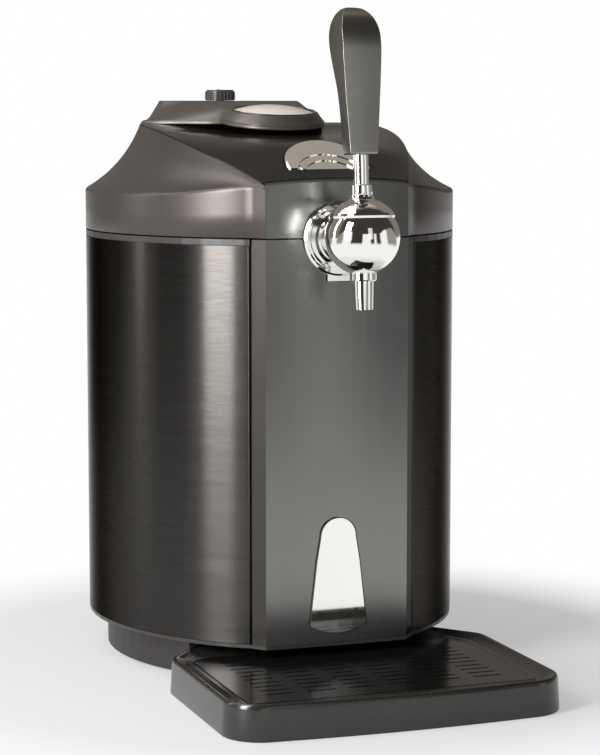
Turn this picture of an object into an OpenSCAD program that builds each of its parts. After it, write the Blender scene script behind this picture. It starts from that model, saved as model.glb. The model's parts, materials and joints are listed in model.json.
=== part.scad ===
// Pressurized growler dispenser: an oval cooler with a tap on its front column,
// a hinged lid, a drip tray and a steel growler in its cold well.
// Millimetres. X to the right, Y to the back, Z up. The origin is on the counter,
// at the centre of the footprint. Shapes are drawn about the body's own axis.

/* [Body] */
// Width of the oval body
body_w = 276; // [270:1:284]
// Radius of the oval's two side arcs
side_r = 170; // [166:1:174]
// Radius of the oval's two end arcs
end_r = 105; // [102:1:108]
// Height of the body's underside above the counter
base_h = 28; // [27:0.5:29]
// Height of the seam between the body and the lid
seam_h = 320.6; // [319:0.2:322]
// Thickness of the sheet that wraps the sides
wrap_t = 1; // [0.8:0.1:1.2]
// Wall of the moulded cases
wall = 3; // [2.6:0.1:3.4]

/* [Column] */
// Width of the column between its two creases
column_w = 107.4; // [104:0.2:110]
// Distance of the creases in front of the body's axis
column_y = 151.6; // [150.6:0.1:152.6]
// How far the column's face bows out at its middle
column_bow = 1.4; // [1:0.1:1.6]
// Half width where the column meets the side wraps
column_side = 61.6; // [60.6:0.2:62.4]

/* [Lid] */
// Height of the upright band at the sides, above the seam
band_rise = 30.4; // [29.4:0.2:31.4]
// Height of the bell's upper edge above the band
bell_rise = 48; // [47:0.2:49]
// How far the bell's upper edge stands in from the band
bell_in = 41.5; // [40:0.5:43]
// How hollow the bell's sweep is, as a share of its length
bell_hollow = 0.088; // [0.06:0.002:0.1]

/* [Console] */
// Height of the console's flat top above the bell's upper edge
console_rise = 18; // [17:0.2:19]
// Outer radius of the dial ring at its foot
dial_r = 39.5; // [38:0.5:41]
// Distance of the dial's centre in front of the body's axis
dial_y = 11; // [9:0.5:13]
// Forward tilt of the dial
dial_tilt = 6.5; // [5:0.5:8]
// Distance of the knob behind the body's axis
knob_y = 121; // [118:1:122]
// Radius of the knob
knob_r = 11.7; // [11:0.1:12.4]

/* [Tap] */
// Distance of the tap body's centre in front of the body's axis
tap_y = 200; // [199:0.5:202]
// Height of the tap body's centre above the seam
tap_rise = 2.9; // [2.4:0.1:3.4]
// Radius of the round tap body
ball_r = 26; // [25:0.1:26.4]
// Backward lean of the tap
tap_lean = 3.8; // [3:0.2:4.6]
// Radius of the flange against the column
flange_r = 26.4; // [25:0.1:27]
// Outer radius of the spout
spout_r = 6.6; // [6.2:0.1:7]
// Radius of the spout's bore
spout_bore = 4.5; // [4:0.1:5]

/* [Drip tray] */
// How far the drip tray's sides stand in from the body's
tray_inset = 16; // [14:0.5:18]
// Height of the drip tray
tray_h = 25; // [24:0.2:25.6]
// Distance of the tray's front corners ahead of the body's axis
tray_front = 287; // [284:1:290]
// Distance of the tray's back edge ahead of the body's axis
tray_back = 97; // [96:0.5:98]

/* [Cooling and growler] */
// Inner radius of the cold well
well_r = 90; // [89:0.5:90.5]
// Distance of the well's axis ahead of the body's axis
well_y = 40; // [39:0.5:40.5]
// Outer radius of the growler bottle
growler_r = 85; // [80:1:86]
// Number of blades on the fan
fan_blades = 7; // [5:1:9]

/* [Hidden] */
$fn = 72;
// Clearance between pieces that move past each other
gap = 0.3;
// Radial clearance of a running fit
run = 0.05;
// Overlap that keeps cuts clean
eps = 0.05;

side_c = side_r - body_w / 2;
end_c = sqrt(pow(side_r - end_r, 2) - pow(side_c, 2));
end_half = atan2(side_c, end_c);
side_back = 90 - end_half;
side_front = acos((column_side + side_c) / side_r);
oval_y = end_c + end_r;
col_half = column_w / 2;

band_h = seam_h + band_rise;
bell_h = band_h + bell_rise;
console_h = bell_h + console_rise;
tap_h = seam_h + tap_rise;
// Top of the inner case, and of the wraps around it.
case_top = seam_h - 5;
sheet_top = case_top - 0.2;
trim_top = seam_h - 0.6;

tray_w = body_w - 2 * tray_inset;
tray_bow = 4;
tray_lead = tray_front + tray_bow;
// The hinge stands behind the oval by its arms' length.
hinge_out = 10.4;
hinge_y = oval_y + hinge_out;
// Back face of the rear cover, and its half width.
rear_y = oval_y + 5.4;
rear_half = body_w / 2 - 58.5;
hinge_z = seam_h - 4.6;
knuckle_r = 4.5;
// The footprint runs from the tray's front edge to the hinge knuckles.
axis_shift = (tray_lead - hinge_y - knuckle_r) / 2;

lid_z = seam_h + 0.4;
shank_z = seam_h;
shank_r = 12;
notch_r = shank_r + 0.4;
face_y = -column_y - column_bow;

neck_z = 31;
neck_r = 7.7;
foot_z = 10;
foot_r = 3;
foot_tip_r = 4;

well_z = 38;
well_top = seam_h - 21.6;
deck_z = well_top;
gas_port = 9.8;

latch_r = 31;
latch_rise = 5.8;
latch_y = column_y - 16.1;
latch_h = band_h + 17.3;
latch_slope = 32;

// Moves a shape drawn about the body's axis to the footprint's frame.
module on_axis() {
    translate([0, axis_shift, 0]) children();
}

// Half width of the oval at y, drawn in by t.
function oval_x(y, t = 0) =
    abs(y) < end_c + (end_r - t) * cos(end_half)
        ? sqrt(pow(side_r - t, 2) - y * y) - side_c
        : sqrt(max(0, pow(end_r - t, 2) - pow(abs(y) - end_c, 2)));

// Points of the right side arc from the column to the rear end arc.
function side_arc(t, first, last, n = 22) = [
    for (i = [0:n])
        let (a = first + (last - first) * i / n)
        [-side_c + (side_r - t) * cos(a), (side_r - t) * sin(a)]
];

function end_arc(t, n = 10) = [
    for (i = [1:n - 1])
        let (a = side_back + 2 * end_half * i / n)
        [(end_r - t) * cos(a), end_c + (end_r - t) * sin(a)]
];

function flip_x(pts) = [for (i = [len(pts) - 1:-1:0]) [-pts[i].x, pts[i].y]];

// Right half of the column's bowed face, from its middle to the crease.
function column_face(t, n = 5) = [
    for (i = [0:n])
        let (x = (col_half - 0.4 * t) * i / n)
        [x, -column_y + t - column_bow * (1 - pow(i / n, 2))]
];

// Closed outline of body and column together, drawn in by t.
function outline(t = 0) =
    let (right = concat(column_face(t), side_arc(t, -side_front, side_back), end_arc(t)))
    let (left = concat(flip_x(side_arc(t, -side_front, side_back)), flip_x(column_face(t))))
    [for (i = [0:len(right) + len(left) - 2]) i < len(right) ? right[i] : left[i - len(right)]];

// Closed oval without the column, drawn in by t.
function plain_oval(t = 0) =
    let (side = side_arc(t, -side_back, side_back))
    let (back = end_arc(t))
    concat(side, back, flip_x(side), [for (i = [len(back) - 1:-1:0]) [back[i].x, -back[i].y]]);

// Solid that joins rings of points, each ring with as many points as the others.
module loft(rings) {
    n = len(rings[0]);
    m = len(rings);
    polyhedron(
        points = [for (r = rings) for (p = r) p],
        faces = concat(
            [[for (i = [0:n - 1]) i]],
            [for (k = [0:m - 2]) for (i = [0:n - 1])
                let (j = (i + 1) % n)
                [k * n + i, (k + 1) * n + i, (k + 1) * n + j]],
            [for (k = [0:m - 2]) for (i = [0:n - 1])
                let (j = (i + 1) % n)
                [k * n + i, (k + 1) * n + j, k * n + j]],
            [[for (i = [n - 1:-1:0]) (m - 1) * n + i]]
        ),
        convexity = 6
    );
}

// Extrusion between two heights.
module slab(z0, z1) {
    translate([0, 0, z0]) linear_extrude(z1 - z0) children();
}

// Cylinder along Y from y0 to y1 at x and z.
module rod_y(x, z, r, y0, y1) {
    translate([x, y0, z]) rotate([-90, 0, 0]) cylinder(h = y1 - y0, r = r);
}

// Cylinder along X from x0 to x1 at y and z.
module rod_x(y, z, r, x0, x1) {
    translate([x0, y, z]) rotate([0, 90, 0]) cylinder(h = x1 - x0, r = r);
}

// Box given by two corners.
module box(a, b) {
    translate(a) cube(b - a);
}

// Curved sheet on one side of the oval, from angle first to angle last.
module side_sheet(t0, t1, z0, z1, first, last) {
    translate([-side_c, 0, 0])
        rotate([0, 0, first])
            rotate_extrude(angle = last - first, $fn = 120)
                translate([side_r - t1, z0]) square([t1 - t0, z1 - z0]);
}

// Base

foot_places = [for (s = [1, -1], p = [[body_w / 2 - 50, 60], [body_w / 2 - 54, -58]]) [s * p.x, p.y]];

module rubber_feet() color("#1b1b1c") on_axis() {
    for (p = foot_places) translate([p.x, p.y, 0]) {
        cylinder(h = 3, r1 = 9.4, r2 = 10, $fn = 36);
        translate([0, 0, 3]) cylinder(h = 3, r = 3.8, $fn = 24);
    }
}

module base_plate() color("#2a2827") on_axis() difference() {
    slab(3, 6) intersection() {
        polygon(plain_oval(14 + wall + 0.3));
        translate([-body_w, 7.5 - tray_back]) square(2 * body_w);
    }
    for (p = foot_places) translate([p.x, p.y, 2]) cylinder(h = 5, r = 3.8, $fn = 24);
    for (p = base_screw_places) translate([p.x, p.y, 2]) cylinder(h = 5, r = 2.2, $fn = 24);
    for (i = [-4:4]) box([i * 9 - 2, 88, 2], [i * 9 + 2, 118, 7]);
}

module pedestal() color("#383432") on_axis() difference() {
    slab(1.5, base_h) pedestal_shape(14);
    slab(1.5 - eps, base_h - wall) pedestal_shape(14 + wall);
    for (s = [-1, 1])
        box([s * 36 - 7, -tray_back - 3, 7], [s * 36 + 7, -tray_back + 17, 13]);
    slab(base_h - wall - 1, base_h + 1) translate([0, -well_y]) circle(r = 30);
}

module pedestal_shape(t) intersection() {
    polygon(plain_oval(t));
    translate([-body_w, 4 - tray_back + (t - 14)]) square(2 * body_w);
}

base_screw_places = [for (s = [1, -1], p = [[60, 100], [body_w / 2 - 38, 0]]) [s * p.x, p.y]];

module base_screws() color("#8d8f92") on_axis()
    for (p = base_screw_places) translate([p.x, p.y, 0.9]) {
        cylinder(h = 2, r = 4, $fn = 32);
        cylinder(h = 22, r = 1.9, $fn = 24);
    }

module bottom_ring() color("#4a4542") on_axis() difference() {
    slab(base_h + 0.2, base_h + 2.8) polygon(outline(0.2));
    slab(base_h - 1, base_h + 4) polygon(outline(19));
}

// Inner case and cooling

case_front = 7.6 - column_y;

module case_shape(t) intersection() {
    polygon(plain_oval(t));
    translate([-body_w, case_front + (t - wrap_t - gap)]) square(2 * body_w);
}

module inner_case() color("#242424") on_axis() difference() {
    slab(base_h + 3, case_top) case_shape(wrap_t + gap);
    slab(base_h + 6, deck_z - wall) case_shape(wrap_t + gap + wall);
    slab(deck_z, seam_h) case_shape(wrap_t + gap + wall);
    slab(deck_z - wall - 1, deck_z + 1) translate([0, -well_y]) circle(r = well_r + 1.8);
    box([7.5 - rear_half, 95, base_h + 10], [rear_half - 7.5, rear_y + 33, deck_z - 8]);
    rod_y(0, shank_z, notch_r, case_front - 16, case_front + 24);
    box([-notch_r, case_front - 16, shank_z], [notch_r, case_front + 24, shank_z + 10]);
    for (s = [-1, 1])
        box([s * arm_x - 4.6, case_front - 6, arm_foot - 2], [s * arm_x + 4.6, case_front + 8, seam_h + 10]);
    for (s = [0, 1]) mirror([s, 0, 0]) rolled_edge(bead_r + gap, base_h, seam_h);
}

bead_r = 1.1;
// The wraps end beside the rear cover.
wrap_end = acos((rear_half + 0.9 + side_c) / side_r);

// Rolled edge of a side wrap, beside the column.
module rolled_edge(r, z0, z1) translate([-side_c, 0, 0]) rotate([0, 0, -side_front + 0.5])
    translate([side_r - wrap_t / 2, 0, z0]) cylinder(h = z1 - z0, r = r, $fn = 24);

module wrap_sheet(s) mirror([s < 0 ? 1 : 0, 0, 0]) {
    side_sheet(0, wrap_t, base_h + 3.2, sheet_top, -side_front + 0.3, wrap_end);
    rolled_edge(bead_r, base_h + 3, case_top);
}

module left_wrap() color("#332e2b") on_axis() wrap_sheet(-1);

module right_wrap() color("#332e2b") on_axis() wrap_sheet(1);

module trim_ring() color("#4a4543") on_axis() difference() {
    slab(case_top + 0.2, trim_top) polygon(plain_oval(0));
    slab(case_top - 1, case_top + 1.8) polygon(plain_oval(wrap_t + gap + wall + 0.2));
    slab(case_top - 1, seam_h + 1) polygon(plain_oval(10));
    box([-column_side - 0.4, -oval_y - 1, case_top - 1], [column_side + 0.4, -oval_y / 2, seam_h + 1]);
}

module insulation() color("#d9d6cc") on_axis() difference() {
    slab(base_h + 6.2, deck_z - wall - 0.2) intersection() {
        translate([0, -well_y]) circle(r = well_r + 15);
        case_shape(wrap_t + gap + wall + gap);
    }
    translate([0, -well_y, well_z - 1.7]) cylinder(h = 300, r = well_r + 1.7);
    box([-23, well_r - well_y - 10, cool_z - 32], [23, well_r - well_y + 30, cool_z + 32]);
}

module cold_well() color("#b9bcbf") on_axis() difference() {
    union() {
        translate([0, -well_y, well_z - 1.5]) cylinder(h = well_top + 1.5 - well_z, r = well_r + 1.5);
        translate([0, -well_y, well_top]) cylinder(h = 1.2, r = well_r + 6);
    }
    translate([0, -well_y, well_z]) cylinder(h = 300, r = well_r);
}

cool_z = 140;
// Rear face of the cold block, and front face of the heat sink.
block_y = well_r - well_y + 30;
sink_y = block_y + 4;

module cold_block() color("#b4b7ba") on_axis() difference() {
    box([-22, block_y - 35, cool_z - 22], [22, block_y, cool_z + 22]);
    translate([0, -well_y, cool_z - 40]) cylinder(h = 90, r = well_r + 1.6);
}

module peltier_module() color("#e8e6df") on_axis()
    box([-20, block_y + 0.1, cool_z - 20], [20, sink_y - 0.1, cool_z + 20]);

module heat_sink() color("#a9acaf") on_axis() {
    box([-50, sink_y, cool_z - 50], [50, sink_y + 6, cool_z + 50]);
    for (i = [-7:7])
        box([i * 6.8 - 0.8, sink_y + 6 - eps, cool_z - 50], [i * 6.8 + 0.8, sink_y + 40, cool_z + 50]);
}

fan_y0 = sink_y + 40 + gap;
fan_y1 = fan_y0 + 25;
fan_pin_r = 2;

module fan_frame() color("#202122") on_axis() {
    difference() {
        box([-46, fan_y0, cool_z - 46], [46, fan_y1, cool_z + 46]);
        rod_y(0, cool_z, 44.2, fan_y0 - 1, fan_y1 + 1);
        for (x = [-41.25, 41.25]) for (z = [-41.25, 41.25])
            rod_y(x, cool_z + z, 2.2, fan_y0 - 1, fan_y1 + 1);
    }
    rod_y(0, cool_z, 19, fan_y0, fan_y0 + 4);
    rod_y(0, cool_z, fan_pin_r, fan_y0 + 3, fan_y0 + 16);
    for (a = [45, 135]) translate([0, fan_y0, cool_z]) rotate([0, a, 0])
        translate([-46, 0, -3]) cube([92, 3, 6]);
}

module fan_rotor() color("#2c2d2f") on_axis() translate([0, fan_y0 + 4.4, cool_z]) {
    rotate([-90, 0, 0]) difference() {
        cylinder(h = 18, r = 18);
        translate([0, 0, -1]) cylinder(h = 13.4, r = fan_pin_r + run);
    }
    for (i = [0:fan_blades - 1]) rotate([0, i * 360 / fan_blades, 0])
        translate([17, 9, 0]) rotate([40, 0, 0]) translate([0, -8, -1]) cube([25.6, 16, 2]);
}

// Rear

rear_top = deck_z + 4;

module rear_cover() color("#2b2a29") on_axis() difference() {
    slab(base_h + 3.2, rear_top) rear_shape(0);
    slab(base_h + 6.2, rear_top - wall) rear_shape(wall);
    slab(base_h, seam_h) polygon(plain_oval(wrap_t));
    for (k = [-5:5]) {
        w = sqrt(46 * 46 - pow(k * 8, 2));
        box([-w, rear_y - 17, cool_z + k * 8 - 2], [w, rear_y + 13, cool_z + k * 8 + 2]);
    }
    for (k = [0:7]) translate([0, rear_y, cool_z + 78 + k * 8])
        box([-40, -17, 0], [40, 13, 3.6]);
    rod_y(jack_x, port_z, 6.1, rear_y - 17, rear_y + 13);
    box([switch_x - 10.2, rear_y - 17, port_z - 8.4], [switch_x + 10.2, rear_y + 13, port_z + 8.4]);
    for (p = rear_screw_places) rod_y(p.x, p.y, 1.9, rear_y - 17, rear_y + 13);
}

module rear_shape(t) {
    r = 14 - t;
    union() {
        translate([-rear_half + t, 0]) square([2 * (rear_half - t), rear_y - 14]);
        translate([-rear_half + 14, 0]) square([2 * (rear_half - 14), rear_y - t]);
        for (s = [-1, 1]) translate([s * (rear_half - 14), rear_y - 14]) circle(r = r);
    }
}

rear_screw_places = [for (s = [-1, 1], z = [base_h + 18, rear_top - 13]) [s * (rear_half - 13.5), z]];
port_z = base_h + 30;
jack_x = rear_half - 27.5;
switch_x = 28.5 - rear_half;

module rear_screws() color("#8d8f92") on_axis()
    for (p = rear_screw_places) {
        rod_y(p.x, p.y, 3.6, rear_y + 0.05, rear_y + 1.8);
        rod_y(p.x, p.y, 1.6, rear_y - 12, rear_y + 1);
    }

module power_jack() color("#1d1d1e") on_axis() {
    difference() {
        union() {
            rod_y(jack_x, port_z, 6, rear_y - 14, rear_y - 0.2);
            rod_y(jack_x, port_z, 8, rear_y, rear_y + 1.6);
            rod_y(jack_x, port_z, 6, rear_y - 1, rear_y + 1);
        }
        rod_y(jack_x, port_z, 3.2, rear_y - 9, rear_y + 3);
    }
    rod_y(jack_x, port_z, 1, rear_y - 10, rear_y + 0.6);
}

// Rocker that turns about an axis along X behind its face.
module power_switch() color("#141414") on_axis()
    translate([switch_x, rear_y - 6, port_z]) rotate([10, 0, 0]) difference() {
        union() {
            rod_x(0, 0, 6, -9.6, 9.6);
            box([-9.6, 0, -6.4], [9.6, 8.6, 6.4]);
        }
        rod_x(22.6, 0, 16, -12, 12);
    }

module control_board() color("#1f5a3a") on_axis() {
    box([-45, -30, 12], [45, 45, 13.6]);
    for (p = [[-30, -15, 14, 9], [12, -18, 20, 12], [-20, 20, 10, 10], [22, 22, 16, 8]])
        box([p.x, p.y, 13.5], [p.x + p[2], p.y + 10, 13.6 + p[3] * 0.6]);
    for (x = [-41, 41]) for (y = [-26, 41]) translate([x, y, 6.05]) cylinder(h = 6, r = 3, $fn = 24);
}

module hinge_bracket() color("#3b3a39") on_axis() difference() {
    union() {
        intersection() {
            box([-42, hinge_y - 22, hinge_z - 12], [42, hinge_y - 6, case_top]);
            difference() {
                slab(hinge_z - 16, hinge_z + 4) polygon(plain_oval(-2.6));
                slab(hinge_z - 16, hinge_z + 4) polygon(plain_oval(wrap_t + gap));
            }
        }
        for (s = [-1, 1]) {
            rod_x(hinge_y, hinge_z, knuckle_r, s * 35 - 5, s * 35 + 5);
            translate([s * 35 - 5, hinge_y, hinge_z]) rotate([90, 0, 90]) linear_extrude(10) polygon([
                [-18, -11], [-9, -11], [3.6, -2.6], [0, 2.5], [-7.6, -0.6], [-18, -0.6]
            ]);
        }
    }
    rod_x(hinge_y, hinge_z, 2, -50, 50);
    slab(hinge_z - 16, hinge_z + 4) polygon(plain_oval(wrap_t + gap));
}

module hinge_pin() color("#9a9c9e") on_axis() {
    rod_x(hinge_y, hinge_z, 2, -40.4, 40.4);
    for (s = [-1, 1]) rod_x(hinge_y, hinge_z, 3, s * 41 - 0.8, s * 41 + 0.8);
}

module hinge_arms() color("#4a4543") on_axis() difference() {
    union() {
        for (s = [-1, 1]) {
            rod_x(hinge_y, hinge_z, knuckle_r, s * 23.4 - 6, s * 23.4 + 6);
            intersection() {
                box([s * 23.4 - 6, hinge_y - 17, hinge_z], [s * 23.4 + 6, hinge_y + knuckle_r, hinge_z + 24]);
                translate([0, hinge_y, hinge_z]) rotate([38, 0, 0])
                    box([-60, -knuckle_r, -1], [60, knuckle_r, 26]);
            }
        }
    }
    rod_x(hinge_y, hinge_z, 2 + run, -40, 40);
    slab(hinge_z - 6, band_h) polygon(plain_oval(0));
}

// Column

module column_panel() color("#3d403d") on_axis() difference() {
    union() {
        slab(base_h + 3, trim_top) difference() {
            column_shape(0);
            column_shape(wall);
        }
        for (s = [-1, 1]) for (z = [base_h + 32, cool_z + 40, well_top - 29])
            rod_y(s * 44, z, 4, 2.6 - column_y, case_front - 0.1);
    }
    rod_y(0, shank_z, notch_r, face_y - 17, face_y + 13);
    box([-9.2, face_y - 17, tab_z - 4.2], [9.2, face_y + 13, tab_z + 4.2]);
    rod_y(0, base_h + 32, 16, face_y + 0.7, face_y + 13);
    // A groove round the insert.
    intersection() {
        difference() {
            insert_outline(insert_groove);
            insert_outline(0.2);
        }
        slab(insert_z - 26, insert_z + 94) difference() {
            polygon(concat(shifted_face(-3), flip_x(shifted_face(-3))));
            polygon(concat(shifted_face(insert_groove), flip_x(shifted_face(insert_groove))));
        }
    }
}

// Channel section of the column, drawn in by t.
module column_shape(t) {
    half = concat(column_face(t), [[column_side - 0.5 - t, 8.6 - column_y + t * 0.1]]);
    polygon(concat(half, flip_x(half)));
}

insert_z = base_h + 18;

insert_groove = 1.3;

// Front outline of the insert, a little wider at its rounded foot, and grown by g.
module insert_outline(g) translate([0, -column_y + 3, insert_z]) rotate([90, 0, 0]) linear_extrude(8) {
    polygon([
        [-21 - g, 0], [21 + g, 0], [16 + g, 44], [13 + g, 62], [-13 - g, 62], [-16 - g, 44]
    ]);
    intersection() {
        translate([0, 32]) circle(r = 40 + g);
        translate([-21 - g, -12]) square([42 + 2 * g, 14]);
    }
    translate([0, 62]) circle(r = 13 + g);
}

// Chrome insert low on the column.
module column_insert() color("#c9c9c7") on_axis() difference() {
    intersection() {
        insert_outline(0);
        slab(insert_z - 26, insert_z + 94) difference() {
            polygon(concat(shifted_face(-1.6), flip_x(shifted_face(-1.6))));
            polygon(concat(shifted_face(-0.05), flip_x(shifted_face(-0.05))));
        }
    }
}

function shifted_face(t) = concat(column_face(t), [[col_half - 3.7, 11.6 - column_y]]);

tab_z = shank_z - 26.6;

module tap_lock_tab() color("#d4d4d2") on_axis() {
    difference() {
        box([-8.6, face_y - 1.7, tab_z - 3.6], [8.6, face_y + 2.6, tab_z + 3.6]);
        rod_y(0, shank_z, flange_r + gap, face_y - 3, face_y + 0.6);
    }
    box([-6, face_y + 2.5, tab_z - 2.4], [6, face_y + 5.6, tab_z + 2]);
}

// Growler

module growler_bottle() color("#b5b8ba") on_axis() translate([0, -well_y, 0]) difference() {
    rotate_extrude() polygon(growler_profile(0));
    rotate_extrude() polygon(growler_profile(0.8));
}

// Foot of the coupler's cap, which turns onto the bottle's neck.
cap_z = shank_z - 42.6;

function growler_profile(t) = concat(
    [[0, well_z + 0.4 + t], [growler_r - 8 - t / 2, well_z + 0.4 + t]],
    [for (a = [-60:30:0]) [growler_r - 8 - t + 8 * cos(a), well_z + 8.4 + t / 2 + 8 * sin(a)]],
    [for (a = [0:15:60]) [growler_r - 40 - t + 40 * cos(a), cap_z - 46 + 40 * sin(a)]],
    [[27 - t, cap_z - 2], [27 - t, cap_z + 9 + (t > 0 ? 1 : 0)], [0, cap_z + 9 + (t > 0 ? 1 : 0)]]
);

module growler_coupler() color("#303234") on_axis() translate([0, -well_y, 0]) difference() {
    union() {
        translate([0, 0, cap_z]) cylinder(h = 14, r = 31);
        for (i = [0:23]) rotate([0, 0, i * 15]) translate([31, 0, cap_z]) cylinder(h = 13, r = 1.4, $fn = 16);
        translate([0, 0, cap_z + 13]) cylinder(h = 9, r1 = 22, r2 = 17);
        translate([0, 0, cap_z + 21]) cylinder(h = 30, r = 15.4);
        translate([0, 0, shank_z]) rotate([90, 0, 0]) cylinder(h = 27, r = 4.6);
    }
    translate([0, 0, cap_z - 1]) cylinder(h = 10.2, r = 27.2);
    translate([0, 0, shank_z]) rotate([90, 0, 0]) cylinder(h = 30, r = 2.6);
    translate([0, 0, cap_z - 8]) cylinder(h = shank_z - cap_z + 10, r = 4.2);
    translate([0, gas_port, cap_z + 35]) cylinder(h = 20, r = 4.6);
    translate([0, gas_port, cap_z - 1]) cylinder(h = 40, r = 1.4);
}

module dip_tube() color("#c3c6c8") on_axis() translate([0, -well_y, 0]) difference() {
    translate([0, 0, well_z + 8]) cylinder(h = cap_z + 22 - well_z, r = 4.1, $fn = 36);
    translate([0, 0, well_z + 7]) cylinder(h = cap_z + 24 - well_z, r = 3.2, $fn = 36);
}

// Front end of the short hose from the coupler's side to the shank's tail.
tail_y = 34.6 - column_y;

module beer_line() color("#e4e2da") on_axis() difference() {
    rod_y(0, shank_z, 6.4, tail_y, -well_y - 15.6);
    rod_y(0, shank_z, 4.7, tail_y - 1, -well_y - 15);
}

// Tap

module on_tap() {
    translate([0, -tap_y, tap_h]) rotate([-tap_lean, 0, 0]) children();
}

module tap_shank() color("#cfd0d0") on_axis() difference() {
    union() {
        rod_y(0, shank_z, shank_r, face_y - 0.2, tail_y - 10);
        rod_y(0, shank_z, 8, tail_y - 10.1, tail_y);
        rod_y(0, shank_z, 4.6, tail_y - 0.1, tail_y + 10.2);
    }
    rod_y(0, shank_z, 3.4, face_y - 17, tail_y + 17);
    for (k = [0:6]) translate([0, face_y + 6 + k * 2.6, shank_z]) rotate([-90, 0, 0]) difference() {
        cylinder(h = 1, r = shank_r + 1);
        translate([0, 0, -1]) cylinder(h = 3, r = shank_r - 0.8);
    }
}

module shank_nut() color("#b8b48f") on_axis() difference() {
    translate([0, case_front + wall + 0.2, shank_z]) rotate([-90, 0, 0]) cylinder(h = 8, r = 17, $fn = 6);
    rod_y(0, shank_z, shank_r + 0.02, case_front + 2, case_front + 14);
}

// Stepped round flange against the column and the lid.
module tap_flange() color("#d8d8d6") on_axis() translate([0, face_y - 0.4, shank_z])
    rotate([90, 0, 0]) difference() {
        union() {
            cylinder(h = 2.2, r = flange_r);
            translate([0, 0, 2.2]) cylinder(h = 1.2, r1 = flange_r, r2 = flange_r - 1.4);
            cylinder(h = 5.2, r = flange_r - 3.2);
            cylinder(h = 7.6, r = flange_r - 6.2);
            cylinder(h = 10.4, r = flange_r - 9.4);
            cylinder(h = 13, r = 13.4);
        }
        translate([0, 0, -1]) cylinder(h = 20, r = shank_r - 1);
        translate([0, 0, 3.3]) difference() {
            cylinder(h = 3, r = flange_r - 3.4);
            translate([0, 0, -1]) cylinder(h = 5, r = flange_r - 6.2);
        }
    }

module tap_body() color("#dcdcda") on_axis() difference() {
    union() {
        on_tap() {
            sphere(r = ball_r, $fn = 96);
            // A low cap over the ball, which runs up into the neck.
            rotate_extrude() polygon(concat(
                [[0, 10], [ball_r - 3.5, 13], [ball_r - 3.1, 14.6]],
                [for (a = [54:-3.5:26]) (ball_r + 1.6) * [sin(a), cos(a)]],
                [for (a = [12:8:76]) [12.2 - 3.9 * sin(a), 28.6 - 3.9 * cos(a)]],
                [[8.3, 28.6], [0, 28.6]]
            ));
        }
        rod_y(0, shank_z, 12, -tap_y + 14, face_y - 13.5);
    }
    on_tap() {
        translate([0, 0, neck_z]) sphere(r = neck_r + run);
        box([-3.5, -3.6, foot_z], [3.5, 11, neck_z - 6]);
        box([-3.5, -3.6, neck_z - 8], [3.5, 7, neck_z - 4]);
        rod_y(0, foot_z, 6, -12, 20);
        // The channel is narrower than the spout's bore, and stops what is pushed up the spout.
        translate([0, 0, -ball_r - 1]) cylinder(h = ball_r + foot_z, r = spout_bore - 0.6);
    }
    rod_y(0, shank_z, 3.4, -tap_y, face_y + 3);
}

module spout_collar() color("#d0d0ce") on_axis() on_tap() difference() {
    translate([0, 0, -30]) rotate_extrude() polygon([
        [0, 0], [8.6, 0], [9.3, 0.8], [9.3, 5.4], [8.6, 6.2], [8, 8.2], [0, 8.2]
    ]);
    sphere(r = ball_r, $fn = 96);
    translate([0, 0, -40]) cylinder(h = 40, r = spout_r - 0.6);
}

module spout() color("#dadad8") on_axis() on_tap() difference() {
    union() {
        translate([0, 0, -49.6]) cylinder(h = 19.6, r1 = spout_r - 0.3, r2 = spout_r + 0.5);
        translate([0, 0, -31]) cylinder(h = 5.4, r = spout_r - 0.65);
    }
    sphere(r = ball_r, $fn = 96);
    translate([0, 0, -50]) cylinder(h = 40, r = spout_bore);
}

module valve_plunger() color("#a8792f") on_axis() on_tap() difference() {
    rod_y(0, foot_z, 5.6, -8, 9);
    box([-4.5, -6, foot_z - 7], [4.5, 6, foot_z + 7]);
}

module tap_lever() color("#d8d8d6") on_axis() on_tap() {
    translate([0, 0, neck_z]) {
        intersection() {
            sphere(r = neck_r);
            translate([0, 0, -neck_r]) cylinder(h = neck_r, r = 10);
        }
        translate([0, 0, -1.5]) cylinder(h = 5.8, r = neck_r - 0.2);
        translate([0, 0, 4.25]) cylinder(h = 0.8, r1 = neck_r - 0.2, r2 = neck_r - 1);
        cylinder(h = 25.3, r = 5.3);
        cylinder(h = 44, r = 3);
        translate([0, 0, foot_z - neck_z + 2]) cylinder(h = 18, r = foot_r);
    }
    translate([0, 0, foot_z]) sphere(r = foot_tip_r);
}

handle_z = 56.6;

// Black paddle: its side outline and its front outline, extruded and intersected.
module tap_handle() color("#232323") on_axis() on_tap() difference() {
    intersection() {
        rotate([90, 0, 90]) translate([0, 0, -20]) linear_extrude(40) polygon(concat(
            [[-6.8, handle_z], [-7.4, handle_z + 1.2], [-7.2, 92], [-7.8, 125]],
            [for (a = [178:-12:94]) [15 + 22.8 * cos(a), 137 + 21 * sin(a)]],
            [[17.4, 157.6], [19.6, 155], [20.8, 150], [20.9, 142], [20.1, 133], [17.4, 124.6]],
            [[13.4, 113.4], [9.4, 101], [7.6, 88], [7.5, 76], [8, handle_z + 1.2], [7.4, handle_z]]
        ));
        rotate([90, 0, 0]) translate([0, 0, -40]) linear_extrude(80) {
            half = concat(
                [[9.6, handle_z], [10.2, handle_z + 1], [10.7, 70], [11.8, 86], [13, 110]],
                [[13.5, 126]],
                [for (a = [0:15:90]) [2.5 + 11 * cos(a), 136 + 21.8 * sin(a)]]
            );
            polygon(concat(half, flip_x(half)));
        }
    }
    translate([0, 0, 40]) cylinder(h = 35.4, r = 3.02);
}

// Lid

// The band's top edge rises towards the column.
function ease(u) = let (v = max(0, min(1, u))) v * v * (3 - 2 * v);
function band_z(y) = band_h + 6.4 * ease((-y - 92) / 60);

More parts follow.
